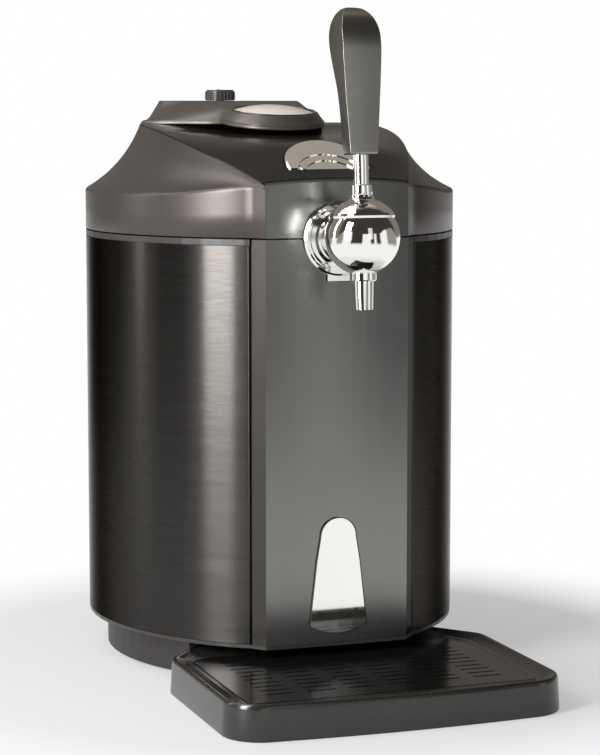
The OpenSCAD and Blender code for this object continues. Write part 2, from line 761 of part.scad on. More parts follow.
// Seam between the bell and the hood: its height and its half width at y.
hood_sweep = 560;
hood_back = 60;
seam_bend = 311.6;
seam_bend_y = 5;
seam_join_y = -110;
seam_wide = 92.6;
function seam_z(y) = bell_h - hood_sweep + sqrt(pow(hood_sweep, 2) - pow(min(0, y - hood_back), 2));
function seam_arc(y) = seam_wide - seam_bend + sqrt(pow(seam_bend, 2) - pow(seam_bend_y - y, 2));
function seam_x(y) =
    y < seam_join_y
        ? col_half + (seam_arc(seam_join_y) - col_half) * (y + column_y) / (seam_join_y + column_y)
    : y < seam_bend_y ? seam_arc(y)
    : min(seam_wide, oval_x(y, bell_in));

// The bell runs from point p of the band's edge to this point of its upper edge.
bell_k = (side_r - bell_in) / side_r;
function bell_top(p, q) =
    let (y = p.y >= 0 ? q.y : p.y * (bell_k + (1 - bell_k) * pow(p.y / column_y, 2)))
    p.y < -143 ? [p.x, p.y, seam_z(-column_y)]
    : [sign(p.x) * (y < 31 ? seam_x(y) : abs(q.x)), y, seam_z(y)];

function bell_point(b, e, u) =
    let (d = [e.x - b.x, e.y - b.y])
    let (dh = max(0.01, norm(d)))
    let (dz = e.z - b.z)
    let (w = bell_hollow * 4 * u * (1 - u))
    [b.x + d.x * (u + w * dz / dh), b.y + d.y * (u + w * dz / dh), b.z + dz * u - w * dh];

bell_rings = 9;

function lid_ring(k, t) =
    let (out = outline(0))
    let (pts = outline(t))
    let (top = outline(bell_in))
    [for (i = [0:len(pts) - 1])
        let (p = out[i])
        let (e = bell_top(p, top[i]))
        let (in = [pts[i].x - p.x, pts[i].y - p.y, 0])
        in + bell_point([p.x, p.y, band_z(p.y)], e, k / bell_rings)];

module lid_solid(t, z0, z1) loft(concat(
    [[for (p = outline(t)) [p.x, p.y, z0]]],
    [for (k = [0:bell_rings]) lid_ring(k, t)],
    [[for (p = lid_ring(bell_rings, t)) [p.x, p.y, z1]]]
));

// Everything above the hood's seam.
module above_seam() rotate([90, 0, 90]) translate([0, 0, -200]) linear_extrude(400)
    polygon(concat(
        [for (y = [-170:5:180]) [y, seam_z(y)]],
        [[180, bell_h + 61], [-170, bell_h + 61]]
    ));

module lid_shell() color("#55504c") on_axis() difference() {
    lid_solid(0, lid_z, bell_h + 3);
    lid_solid(wall, lid_z - 1, bell_h + 4);
    above_seam();
    // The wall steps down inside the thin rim that the hood meets.
    intersection() {
        translate([0, 0, -3.6]) above_seam();
        lid_solid(0.8, lid_z - 1, bell_h + 4);
    }
    box([0.1 - col_half, face_y - 17, lid_z - 11], [col_half - 0.1, 5.6 - column_y, band_h + 29]);
}

module lid_front_panel() color("#2f302e") on_axis() difference() {
    intersection() {
        slab(lid_z, band_h + 13) difference() {
            front_strip(0);
            front_strip(wall);
        }
        // Top edge, bevelled along the hood's slope.
        translate([0, -column_y, ridge_foot + 1.1]) rotate([90 + ridge_tilt, 0, 0]) translate([0, 0, -10])
            linear_extrude(60) polygon(concat(
                [[0.25 - col_half, -80], [col_half - 0.25, -80]],
                [for (i = [5:-1:-5]) [(col_half - 0.25) * i / 5, -3.2 * pow(i / 5, 2)]]
            ));
    }
    rod_y(0, shank_z, notch_r, face_y - 17, face_y + 13);
}

module front_strip(t) {
    half = concat(column_face(t), [[col_half - 0.4 * t, wall - column_y + 0.1]]);
    polygon(concat(half, flip_x(half)));
}

// Height of the hood along its middle: a slope, a bend, a long gentle arc and a level top.
ridge_foot = band_h + 9.1;
ridge_tilt = 27.3;
ridge_bend_y = 38.6 - column_y;
ridge_bend = 60;
ridge_ease = 6.5;
ridge_level_y = 0;
ridge_bend_z = ridge_foot + tan(ridge_tilt) * (ridge_bend_y + column_y);
ridge_end_y = ridge_bend_y + ridge_bend * (sin(ridge_tilt) - sin(ridge_ease));
ridge_end_z = ridge_bend_z + ridge_bend * (cos(ridge_ease) - cos(ridge_tilt));
ridge_long = (ridge_level_y - ridge_end_y) / sin(ridge_ease);
function ridge(y) =
    y < ridge_bend_y ? ridge_foot + tan(ridge_tilt) * (y + column_y)
    : y < ridge_end_y
        ? let (c = ridge_bend_y + ridge_bend * sin(ridge_tilt))
            ridge_bend_z + sqrt(pow(ridge_bend, 2) - pow(y - c, 2)) - ridge_bend * cos(ridge_tilt)
    : let (d = min(0, y - ridge_level_y))
        ridge_end_z + sqrt(pow(ridge_long, 2) - d * d) - ridge_long * cos(ridge_ease);

hood_lip = 0.9;
hood_cols = 16;
hood_rows = 30;
hood_end = 116.5;

// Point of the hood's surface, u from -1 to 1 across and v from 0 to 1 to the back.
// It runs level with its edges under the console.
hood_front = -column_y + wall + gap;
function hood_y(v) = hood_front + (hood_end - hood_front) * v;
function hood_point(u, v) =
    let (y = hood_y(v))
    let (under = ease((y + 10) / 45))
    let (rise = (1 - under) * (ridge(y) - seam_z(y)) * (1 - pow(abs(u), 2.5)))
    let (bow = column_bow * (1 - u * u) * max(0, 1 - (y - hood_front) / 8))
    [u * (seam_x(y) - 0.02), y - bow, seam_z(y) + hood_lip + rise];

module hood_panel() color("#35322f") on_axis() difference() {
    loft([
        for (j = [0:hood_rows])
            let (v = j / hood_rows)
            let (top = [for (i = [0:hood_cols]) hood_point(2 * i / hood_cols - 1, v)])
            concat(
                [for (p = top) p],
                [for (i = [hood_cols:-1:0])
                    let (p = top[i])
                    let (edge = i == 0 || i == hood_cols)
                    [p.x, p.y, edge ? p.z - hood_lip + 0.3 : p.z - 2.4]]
            )
    ]);
    on_latch() slab(-30, 20) latch_moon(latch_r + 0.9, 0.9);
    on_dial() cylinder(h = 60, r = boss_r + 0.4, center = true);
    for (p = peg_places) translate([p.x, p.y, bell_h - 19]) cylinder(h = 40, r = 3.9, $fn = 32);
}

peg_places = [[20, 66], [-20, 66], [30, 92], [-30, 92]];
boss_r = 20;

// Frame of the latch: its flat edge lies along X, Y runs up the slope.
module on_latch() {
    translate([0, -latch_y, latch_h]) rotate([latch_slope, 0, 0]) children();
}

// Round plate cut off straight a little below its middle.
module latch_moon(r, grow = 0) intersection() {
    translate([0, latch_rise]) circle(r = r);
    translate([-50, -grow]) square([100, 100]);
}

stem_y = 16;
stem_r = 4;
stem_len = 19.6;
spring_seat = -15.4;

// Chrome half-moon with a raised rim and a crescent, on a stem.
module latch_button() color("#cfcfcb") on_axis() on_latch() {
    slab(-2.6, 0) latch_moon(latch_r);
    slab(-0.1, 1.3) difference() {
        latch_moon(latch_r - 1);
        translate([0, -7]) circle(r = latch_r - 6);
    }
    slab(-0.1, 0.7) difference() {
        latch_moon(latch_r - 9.5);
        translate([0, -9]) circle(r = latch_r - 11);
    }
    translate([0, stem_y, -stem_len]) cylinder(h = stem_len - 1, r = stem_r, $fn = 36);
}

spring_top = -3.4;
spring_turns = 6;
spring_pitch = 2.2;

module latch_spring() color("#a5a7a8") on_axis() on_latch() translate([0, stem_y, 0])
    for (k = [0:spring_turns - 1]) translate([0, 0, spring_top - k * spring_pitch])
        rotate_extrude($fn = 48) translate([stem_r + 1.4, 0]) circle(r = 0.7, $fn = 16);

// Catch under the lid's front: two arms down to the column and a lever back to the stem.
hook_y = -latch_y - 0.5;
hook_z = latch_h - 26.3;
arm_y = 6.6 - column_y;
arm_foot = seam_h - 9.6;
arm_x = 24;
lever_len = 34;

module latch_hook() color("#8f9294") on_axis() difference() {
    union() {
        rod_x(hook_y, hook_z, 4, -30, 30);
        for (s = [-1, 1]) {
            box([s * arm_x - 4, arm_y - 1.8, hook_z - 2], [s * arm_x + 4, hook_y, hook_z + 2]);
            box([s * arm_x - 4, arm_y - 1.8, arm_foot], [s * arm_x + 4, arm_y, hook_z + 2]);
            box([s * arm_x - 4, arm_y - 1.8, arm_foot], [s * arm_x + 4, arm_y + 0.6, arm_foot + 2.4]);
        }
        translate([0, hook_y, hook_z]) rotate([latch_slope, 0, 0]) box([-6, 0, -2], [6, lever_len, 2]);
    }
    rod_x(hook_y, hook_z, 1.5 + run, -40, 40);
}

// Pin of the catch between two cheeks, and the plate that carries the spring.
module hook_bracket() color("#9a9c9e") on_axis() {
    rod_x(hook_y, hook_z, 1.5, -34, 34);
    for (s = [-1, 1]) translate([s * 33 - 2, hook_y, hook_z]) rotate([90, 0, 90]) linear_extrude(4)
        polygon([[-3, -4], [3, -4], [32, 20], [28, 25], [4, 22.6], [-3, 20.6]]);
    on_latch() difference() {
        box([-33, stem_y - 7, spring_seat - 2], [33, stem_y + 7, spring_seat]);
        translate([0, stem_y, spring_seat - 5]) cylinder(h = 10, r = stem_r + 0.3, $fn = 36);
    }
}

liner_z = seam_h + 20.4;

module lid_liner() color("#cfcdc6") on_axis() difference() {
    slab(seam_h + 2, liner_z + 2.4) liner_shape(6.4);
    slab(seam_h + 1.4, liner_z) liner_shape(8.6);
    box([-40, -oval_y, seam_h - 20], [40, 33.6 - column_y, liner_z + 20]);
    translate([0, gas_port - well_y, liner_z - 11]) cylinder(h = 20, r = 7.3, $fn = 36);
}

module liner_shape(t) intersection() {
    polygon(plain_oval(t));
    translate([-body_w, 21.6 - column_y]) square(2 * body_w);
}

module lid_seal() color("#161616") on_axis() difference() {
    slab(seam_h - 0.2, seam_h + 1.9) liner_shape(6.5);
    slab(seam_h - 0.6, seam_h + 2.4) liner_shape(9);
    box([-62, -oval_y, seam_h - 20], [62, 51.6 - column_y, liner_z + 20]);
}

// Gas side, in the lid

valve_z = bell_h - 25;
valve_y = 100;
cartridge_y = -9;

module regulator_valve() color("#7d7f82") on_axis() difference() {
    union() {
        translate([0, valve_y, valve_z - 16]) cylinder(h = 31, r = 15, $fn = 48);
        rod_y(0, valve_z, 12, valve_y - 28, valve_y);
        translate([0, valve_y, liner_z + 2.6]) cylinder(h = valve_z - liner_z - 18, r = 8, $fn = 36);
    }
    rod_y(0, valve_z, 9, valve_y - 32, valve_y - 14);
}

module gas_cartridge() color("#b2b5b8") on_axis() {
    rod_y(0, valve_z, 11, cartridge_y, cartridge_y + 66);
    translate([0, cartridge_y + 66 - eps, valve_z]) rotate([-90, 0, 0]) cylinder(h = 9, r1 = 11, r2 = 4.4);
    rod_y(0, valve_z, 4.4, cartridge_y + 74, cartridge_y + 89);
    translate([0, cartridge_y, valve_z]) sphere(r = 11);
}

module cartridge_sleeve() color("#3a3d40") on_axis() difference() {
    union() {
        rod_y(0, valve_z, 14, cartridge_y - 13, valve_y - 28.2);
        for (y = [-10, 50]) for (s = [-1, 1])
            box([s * 6.5 - 2.5, y, liner_z + 2.6], [s * 6.5 + 2.5, y + 6, valve_z - 8]);
    }
    rod_y(0, valve_z, 11.3, cartridge_y - 11.5, valve_y);
    for (k = [0:3]) box([-5, -5 + k * 15, valve_z], [5, 3 + k * 15, valve_z + 20]);
}

// Line along the liner to the probe that meets the coupler when the lid closes.
module gas_line() color("#2d2f31") on_axis() {
    rod_y(0, liner_z + 7, 3, gas_port - well_y, valve_y - 8.3);
    translate([0, gas_port - well_y, liner_z - 9]) cylinder(h = 22, r = 7, $fn = 36);
    translate([0, gas_port - well_y, lid_z]) cylinder(h = liner_z - lid_z, r = 3.5, $fn = 36);
}

// Console

// Half width of the console's foot and of its top at y.
function foot_half(y) =
    let (s = ease((y + 4) / 56))
    (1 - s) * (dial_r - 1) + s * oval_x(y, bell_in);
function top_half(y) =
    let (s = ease((y - 45) / 35))
    (1 - s) * (33 + 0.16 * y) + s * oval_x(min(y, 111), bell_in + 5.5);

// The right-hand side stays in behind the dial.
function foot_right(y) = min(foot_half(y), 44 + 0.355 * y);
function top_right(y) = min(top_half(y), 23 + 0.355 * y, foot_right(y) - 4);

dial_z = bell_h + 0.2;
dial_h = 10.1;
dial_top_r = 33.4;
lens_r = 30.6;
console_z = bell_h + hood_lip + 0.15;
function console_top(y) = min(console_h, dial_z + dial_h - 0.3 + tan(dial_tilt + 1) * (y + dial_y));

console_rows = 28;
console_front = -dial_y;
console_end = 118;
stem_foot = bell_h + 3.4;
brim_h = 3.4;

function console_side(f, t, y, side) =
    let (z1 = console_top(y))
    let (mid_z = console_z + brim_h + 0.4 * (z1 - 1.6 - console_z - brim_h))
    [for (p = [
        [f - 0.6, console_z], [f, console_z + 0.8], [f, console_z + brim_h],
        [(f + t) / 2, mid_z], [t + 1.5, z1 - 1.6], [t - 2, z1 - 0.2], [t / 3, z1]
    ]) [side * p.x, y, p.y]];

function console_ring(y) =
    let (r = console_side(foot_right(y), top_right(y), y, 1))
    concat(
        console_side(foot_half(y), min(top_half(y), foot_half(y) - 4), y, -1),
        [for (i = [len(r) - 1:-1:0]) r[i]]
    );

// One moulding: the flanks and the flat top run into the round body of the dial.
module console() color("#57534f") on_axis() {
    difference() {
        union() {
            loft([for (j = [0:console_rows])
                console_ring(console_front + (console_end - console_front) * j / console_rows)]);
            on_dial() dial_body();
            translate([0, knob_y, console_z]) cylinder(h = console_h - console_z, r = 10.5);
        }
        on_dial() translate([0, 0, dial_h - 3]) cylinder(h = 20, r = bezel_r + 0.2);
        translate([0, knob_y, stem_foot]) cylinder(h = 40, r = 4 + run, $fn = 36);
    }
    for (p = peg_places) translate([p.x, p.y, bell_h - 8]) cylinder(h = 12, r = 3.5, $fn = 32);
}

module dial_body() rotate_extrude() polygon([
    [0, -9], [boss_r, -9], [boss_r, 0], [dial_r - 2, 0], [dial_r, 1], [dial_r, 2.6],
    [dial_r - 2.4, 5.4], [dial_top_r + 0.8, dial_h - 0.6], [dial_top_r, dial_h], [0, dial_h]
]);

module on_dial() {
    translate([0, -dial_y, dial_z]) rotate([dial_tilt, 0, 0]) children();
}

bezel_r = 32.4;

// Narrow bezel around the lens.
module dial_ring() color("#1f2021") on_axis() on_dial() translate([0, 0, dial_h - 2.9]) rotate_extrude()
    polygon([
        [lens_r + 0.2, 0], [bezel_r, 0], [bezel_r, 3.2], [bezel_r - 0.5, 3.7],
        [lens_r + 0.7, 3.7], [lens_r + 0.2, 3.2]
    ]);

lens_rise = 5;
lens_ball = (lens_r * lens_r + lens_rise * lens_rise) / (2 * lens_rise);

function dome(r, ball, drop, n = 12) = [
    for (i = [0:n])
        let (x = r * i / n)
        [x, sqrt(ball * ball - x * x) - ball - drop]
];

module dial_lens() color("#6f6c68", 0.5) on_axis() on_dial()
    translate([0, 0, dial_h - 0.6 + lens_rise]) rotate_extrude()
        polygon(concat(
            dome(lens_r, lens_ball, 0),
            [[lens_r, -lens_rise - 0.8]],
            [for (i = [12:-1:0]) [(lens_r - 1) * i / 12, dome(lens_r - 1, lens_ball, 1.4)[i].y]]
        ));

module dial_face() color("#26282a") on_axis() on_dial() {
    translate([0, 0, dial_h - 2.9]) cylinder(h = 0.9, r = lens_r - 0.6);
    for (a = [-120:30:120]) rotate([0, 0, a]) translate([-0.5, 22, dial_h - 2.1]) cube([1, 4, 0.4]);
    for (s = [-1, 1]) translate([s * 10, -12, dial_h - 2.1]) cylinder(h = 0.5, r = 4, $fn = 32);
}

module regulator_knob() color("#4b4743") on_axis() translate([0, knob_y, 0]) {
    translate([0, 0, console_h + 0.5]) cylinder(h = 7, r = knob_r);
    translate([0, 0, console_h + 7.4]) cylinder(h = 1.4, r1 = knob_r, r2 = knob_r - 1.4);
    for (i = [0:23]) rotate([0, 0, i * 15]) translate([knob_r, 0, console_h + 0.9])
        cylinder(h = 6, r = 0.45, $fn = 16);
    translate([-0.6, 2, console_h + 8.7]) cube([1.2, 7, 0.5]);
    translate([0, 0, stem_foot + gap]) cylinder(h = console_h + 1 - stem_foot - gap, r = 4, $fn = 36);
}

// Drip tray

grate_half = tray_w / 2 - 17.4;
grate_front = 266;
grate_back = 129.5;
grate_top = 21.2;
grate_r = 14;
ledge = 2.8;
recess_z = 4.4;

function arc(c, r, a0, a1, n) = [for (i = [0:n])
    let (a = a0 + (a1 - a0) * i / n) [c.x + r * cos(a), c.y + r * sin(a)]];

// Right half of the tray's outline drawn in by t, from the front middle round to the back.
corner_r = 28;
shoulder_r = 22;
shoulder_y = 145;
shoulder_turn = 40;
back_r = 12;
back_x = tray_w / 2 - 38.1;
function tray_half(t) =
    let (w = tray_w / 2)
    let (cx = w - corner_r)
    concat(
        [for (i = [0:4])
            let (x = cx * i / 5)
            [x, -tray_front - tray_bow * (1 - pow(x / cx, 2)) + t]],
        arc([cx, -tray_front + corner_r], corner_r - t, -90, 0, 8),
        arc([w - shoulder_r, -shoulder_y], shoulder_r - t, 0, shoulder_turn, 5),
        arc([back_x, -tray_back - back_r], back_r - min(t, 11.5), shoulder_turn, 90, 3)
    );

// Right half of the recess around the grate, drawn out by t, with as many points.
function recess_half(t) =
    let (w = grate_half + t)
    let (f = -grate_front - t)
    concat(
        [for (i = [0:4]) [(w - 3) * i / 5, f]],
        arc([w - 3, f + 3], 3, -90, 0, 8),
        arc([w - grate_r, -grate_back - grate_r + t], grate_r, 0, shoulder_turn, 5),
        arc([w - grate_r, -grate_back - grate_r + t], grate_r, shoulder_turn + 10, 90, 3)
    );
function both_halves(h) = let (f = flip_x(h)) concat(h, [for (i = [0:len(f) - 2]) f[i]]);
function at_z(pts, z) = [for (p = both_halves(pts)) [p.x, p.y, z]];

module grate_shape(t) {
    polygon(both_halves(recess_half(-t)));
}

module drip_tray() color("#3a3634") on_axis() {
    difference() {
        loft([
            at_z(tray_half(0.8), 0), at_z(tray_half(0), 1.2), at_z(tray_half(1.2), 21.6),
            at_z(tray_half(1.9), 23.8), at_z(tray_half(3.2), tray_h)
        ]);
        loft([
            at_z(recess_half(ledge), grate_top - 0.1), at_z(tray_half(3.4), tray_h + 0.05),
            at_z(tray_half(3.4), tray_h + 4)
        ]);
        slab(grate_top - 2.2, 24) grate_shape(0);
        slab(recess_z, 24) grate_shape(6.5);
    }
    for (s = [-1, 1]) box([s * 36 - 6, -tray_back - 1, 7.6], [s * 36 + 6, -tray_back + 10, 12]);
}

slot_cols = 6;
slot_rows = 10;
slot_pitch_x = 30.4;
slot_pitch_y = 10.7;
slot_len = 19;

module drip_grate() color("#1c1b1b") on_axis() difference() {
    slab(grate_top - 2, grate_top) grate_shape(0.5);
    for (i = [0:slot_cols - 1]) for (j = [0:slot_rows - 1])
        translate([(i - (slot_cols - 1) / 2) * slot_pitch_x, -149 - slot_pitch_y * j, grate_top - 3])
            drain_slot();
}

module drain_slot() linear_extrude(5) {
    translate([-slot_len / 2, -1.2]) square([slot_len, 2.4]);
    for (s = [-1, 1]) translate([s * slot_len / 2, 0]) circle(r = 1.2, $fn = 16);
}

rubber_feet();
base_plate();
pedestal();
bottom_ring();
inner_case();
left_wrap();
right_wrap();
trim_ring();
column_panel();
column_insert();
tap_lock_tab();
insulation();
cold_well();
cold_block();
peltier_module();
heat_sink();
fan_frame();
fan_rotor();
rear_cover();
power_jack();
power_switch();
control_board();
hinge_bracket();
hinge_pin();
rear_screws();
base_screws();
growler_bottle();
growler_coupler();
dip_tube();
beer_line();
tap_shank();
shank_nut();
tap_flange();
tap_body();
spout_collar();
spout();
valve_plunger();
tap_lever();
tap_handle();
lid_shell();
lid_front_panel();
hood_panel();
lid_liner();
lid_seal();
hinge_arms();
console();
dial_ring();
dial_lens();
dial_face();
regulator_knob();
regulator_valve();
gas_cartridge();
cartridge_sleeve();
gas_line();
latch_button();
latch_spring();
latch_hook();
hook_bracket();
drip_tray();
drip_grate();
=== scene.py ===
"""The growler dispenser's looks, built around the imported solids."""

import json
import math

import bmesh
import bpy
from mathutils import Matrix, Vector

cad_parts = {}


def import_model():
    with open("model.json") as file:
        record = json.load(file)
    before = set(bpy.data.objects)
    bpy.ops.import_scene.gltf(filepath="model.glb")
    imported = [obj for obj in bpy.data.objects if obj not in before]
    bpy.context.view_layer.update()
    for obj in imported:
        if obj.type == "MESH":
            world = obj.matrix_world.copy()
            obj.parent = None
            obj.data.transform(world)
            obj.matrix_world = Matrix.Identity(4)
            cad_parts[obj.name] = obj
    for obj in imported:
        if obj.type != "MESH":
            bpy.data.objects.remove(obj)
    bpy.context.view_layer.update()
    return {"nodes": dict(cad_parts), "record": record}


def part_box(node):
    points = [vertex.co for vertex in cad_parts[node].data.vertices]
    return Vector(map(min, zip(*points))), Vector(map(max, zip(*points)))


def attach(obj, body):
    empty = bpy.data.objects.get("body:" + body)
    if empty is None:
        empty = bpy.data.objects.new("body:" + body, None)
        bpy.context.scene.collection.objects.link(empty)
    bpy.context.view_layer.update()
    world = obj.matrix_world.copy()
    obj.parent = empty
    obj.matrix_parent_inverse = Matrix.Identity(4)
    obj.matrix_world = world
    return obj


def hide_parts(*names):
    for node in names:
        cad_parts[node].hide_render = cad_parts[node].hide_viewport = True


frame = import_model()

# Driving sizes, in millimetres

MM = 0.001
SIDE_R, END_R, BODY_W = 170, 105, 276
SIDE_C = SIDE_R - BODY_W / 2
END_C = math.sqrt((SIDE_R - END_R) ** 2 - SIDE_C ** 2)
END_HALF = math.atan2(SIDE_C, END_C)
OVAL_BACK = END_C + END_R
COLUMN_Y, COLUMN_BOW, COLUMN_HALF, COLUMN_SIDE = 151.6, 1.4, 53.7, 61.6
SIDE_FRONT = math.acos((COLUMN_SIDE + SIDE_C) / SIDE_R)
SEAM_H, BAND_H, BELL_H, BELL_IN, BELL_HOLLOW = 320.6, 351, 399, 41.5, 0.088
WALL, GAP = 3, 0.3
LID_Z = SEAM_H + 0.4
# The solids are drawn about the body's own axis, which stands this far behind the frame's origin.
AXIS_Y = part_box("trim_ring")[1].y / MM - OVAL_BACK


def lerp(a, b, u):
    return a + (b - a) * u


def ease(u):
    v = max(0.0, min(1.0, u))
    return v * v * (3 - 2 * v)


# Colours and node trees

WHITE = (1, 1, 1, 1)
# Noise seldom leaves this range of its factor.
NOISE_RANGE = (0.3, 0.7)


def linear(c):
    return tuple(x / 12.92 if x <= 0.04045 else ((x + 0.055) / 1.055) ** 2.4 for x in c)


def rgb(r, g, b):
    """Linear colour from an 8-bit display colour."""
    return (*linear((r / 255, g / 255, b / 255)), 1)


def shaded(color, k):
    return (*[max(0.0, min(1.0, c * k)) for c in color[:3]], 1)


class Tree:
    """Short way to build a node tree."""

    def __init__(self, tree):
        self.tree = tree

    def add(self, kind, **values):
        """A new node, with values for its own settings or, where it has none of that name, its sockets."""
        node = self.tree.nodes.new("ShaderNode" + kind)
        for key, value in values.items():
            if hasattr(node, key):
                setattr(node, key, value)
            else:
                node.inputs[key.replace("_", " ")].default_value = value
        return node

    def feed(self, socket, value):
        """Sets the socket to a number or a colour, or links it to another node's output."""
        if isinstance(value, (int, float, tuple)):
            socket.default_value = value
        else:
            self.tree.links.new(value, socket)

    def coords(self, scale=(1, 1, 1)):
        mapping = self.add("Mapping", Scale=scale)
        self.feed(mapping.inputs["Vector"], self.add("TexCoord").outputs["Object"])
        return mapping.outputs["Vector"]

    def noise(self, vec, scale, detail=3.0):
        node = self.add("TexNoise", Scale=scale, Detail=detail)
        self.feed(node.inputs["Vector"], vec)
        return node.outputs["Fac"]

    def map(self, value, low, high, to_low=0.0, to_high=1.0, kind="LINEAR"):
        """The value's range low..high mapped to another one, and held at its ends."""
        node = self.add("MapRange", interpolation_type=kind, From_Min=low, From_Max=high,
                        To_Min=to_low, To_Max=to_high)
        self.feed(node.inputs["Value"], value)
        return node.outputs["Result"]

    def step(self, value, low, high):
        """0 below low, 1 above high, and a smooth rise between them."""
        return self.map(value, low, high, kind="SMOOTHSTEP")

    def spread(self, noise, low, high):
        """Noise as a value between low and high."""
        return self.map(noise, *NOISE_RANGE, low, high)

    def math(self, operation, a, b=0):
        node = self.add("Math", operation=operation)
        for socket, value in zip(node.inputs, (a, b)):
            self.feed(socket, value)
        return node.outputs[0]

    def ramp(self, value, stops):
        node = self.add("ValToRGB")
        elements = node.color_ramp.elements
        while len(elements) < len(stops):
            elements.new(1.0)
        for element, (where, color) in zip(elements, stops):
            element.position = where
            element.color = color
        self.feed(node.inputs["Fac"], value)
        return node.outputs["Color"]

    def two_colors(self, noise, dark, light):
        return self.ramp(noise, list(zip(NOISE_RANGE, (dark, light))))

    def mix(self, factor, a, b):
        node = self.add("Mix", data_type="RGBA")
        for socket, value in zip((node.inputs[0], node.inputs[6], node.inputs[7]), (factor, a, b)):
            self.feed(socket, value)
        return node.outputs[2]

    def shade(self, factor, a, b):
        node = self.add("MixShader")
        for socket, value in zip(node.inputs, (factor, a, b)):
            self.feed(socket, value)
        return node.outputs[0]

    def split(self, vec):
        node = self.add("SeparateXYZ")
        self.feed(node.inputs[0], vec)
        return node.outputs

    def ray(self, name):
        return self.add("LightPath").outputs["Is %s Ray" % name]

    def seen(self):
        """1 for the rays that see the white background: camera, glossy and transmission rays."""
        return self.math("MAXIMUM", self.ray("Camera"),
                         self.math("MAXIMUM", self.ray("Glossy"), self.ray("Transmission")))


class Finish(Tree):
    """A material, and its Principled shader's values."""

    def __init__(self, name):
        self.mat = bpy.data.materials.new(name)
        self.mat.use_nodes = True
        super().__init__(self.mat.node_tree)
        self.bsdf = self.tree.nodes["Principled BSDF"]

    def set(self, **values):
        for key, value in values.items():
            self.feed(self.bsdf.inputs[key.replace("_", " ")], value)

    def bump(self, height, strength, depth):
        node = self.add("Bump", Strength=strength, Distance=depth)
        self.feed(node.inputs["Height"], height)
        self.set(Normal=node.outputs["Normal"])


# Finishes

GRAIN_DEPTH, STREAK_DEPTH = 0.0004, 0.0002
LEAST_ROUGH = 0.02
# Brushed metal's broad patches of roughness: how much longer and taller they are than the streaks.
BROAD_LONG, BROAD_TALL, BROAD_SHIFT = 9, 30, 0.02


def surface(name, color, rough, metal=0.0, shift=0.1, grain=900.0, bump=0.06, rough_shift=0.05,
            coat=0.0, coat_rough=0.05, specular=0.5, slow=14.0, edge=1.0):
    """Moulded, painted or plated finish: slow colour drift, fine grain in roughness and height."""
    n = Finish(name)
    vec = n.coords()
    fine = n.noise(vec, grain, 4.0)
    drift = n.noise(vec, slow)
    n.set(Base_Color=n.two_colors(drift, shaded(color, 1 - shift), shaded(color, 1 + shift)),
          Roughness=n.spread(fine, max(LEAST_ROUGH, rough - rough_shift), min(1, rough + rough_shift)),
          Metallic=metal, Specular_IOR_Level=specular, Coat_Weight=coat, Coat_Roughness=coat_rough,
          Specular_Tint=(edge, edge, edge, 1))
    if bump:
        n.bump(fine, bump, GRAIN_DEPTH)
    return n.mat


def brushed(name, color, rough, turns=5400.0, length=70.0, shift=0.3, bump=0.1, aniso=0.75, edge=1.0):
    """Metal brushed around the body: streaks that run level, and gloss that spreads upright."""
    n = Finish(name)
    streak = n.noise(n.coords((length, length, turns)), 1.0, 5.0)
    broad = n.noise(n.coords((length / BROAD_LONG, length / BROAD_LONG, turns / BROAD_TALL)), 1.0)
    around_z = n.add("Tangent", direction_type="RADIAL", axis="Z")
    n.set(Base_Color=n.two_colors(streak, shaded(color, 1 - shift), shaded(color, 1 + shift)),
          Roughness=n.spread(broad, rough - BROAD_SHIFT, rough + BROAD_SHIFT),
          Metallic=1.0, Anisotropic=aniso, Anisotropic_Rotation=0.25, Specular_Tint=(edge, edge, edge, 1),
          Tangent=around_z.outputs["Tangent"])
    n.bump(streak, bump, STREAK_DEPTH)
    return n.mat


def lens_material():
    """Milky plastic, a little uneven in its gloss."""
    n = Finish("lens")
    n.set(Base_Color=rgb(206, 198, 188), Transmission_Weight=0.1, IOR=1.4,
          Roughness=n.spread(n.noise(n.coords(), 300.0), 0.04, 0.08))
    return n.mat


def column_material():
    """Satin front, and its two slanted sides painted darker: painted shade."""
    n = Finish("column_gloss")
    vec = n.coords()
    front = n.two_colors(n.noise(vec, 9.0), rgb(128, 130, 126), rgb(133, 135, 131))
    # The slanted sides, past the front's half width, get a darker colour: painted shade.
    painted_shade_sides = n.math("GREATER_THAN", n.math("ABSOLUTE", n.split(vec)["X"]), COLUMN_HALF * MM)
    n.set(Base_Color=n.mix(painted_shade_sides, front, rgb(72, 69, 66)),
          Roughness=n.spread(n.noise(vec, 30.0), 0.22, 0.25),
          Metallic=1.0, Specular_Tint=(0.5, 0.5, 0.5, 1))
    return n.mat


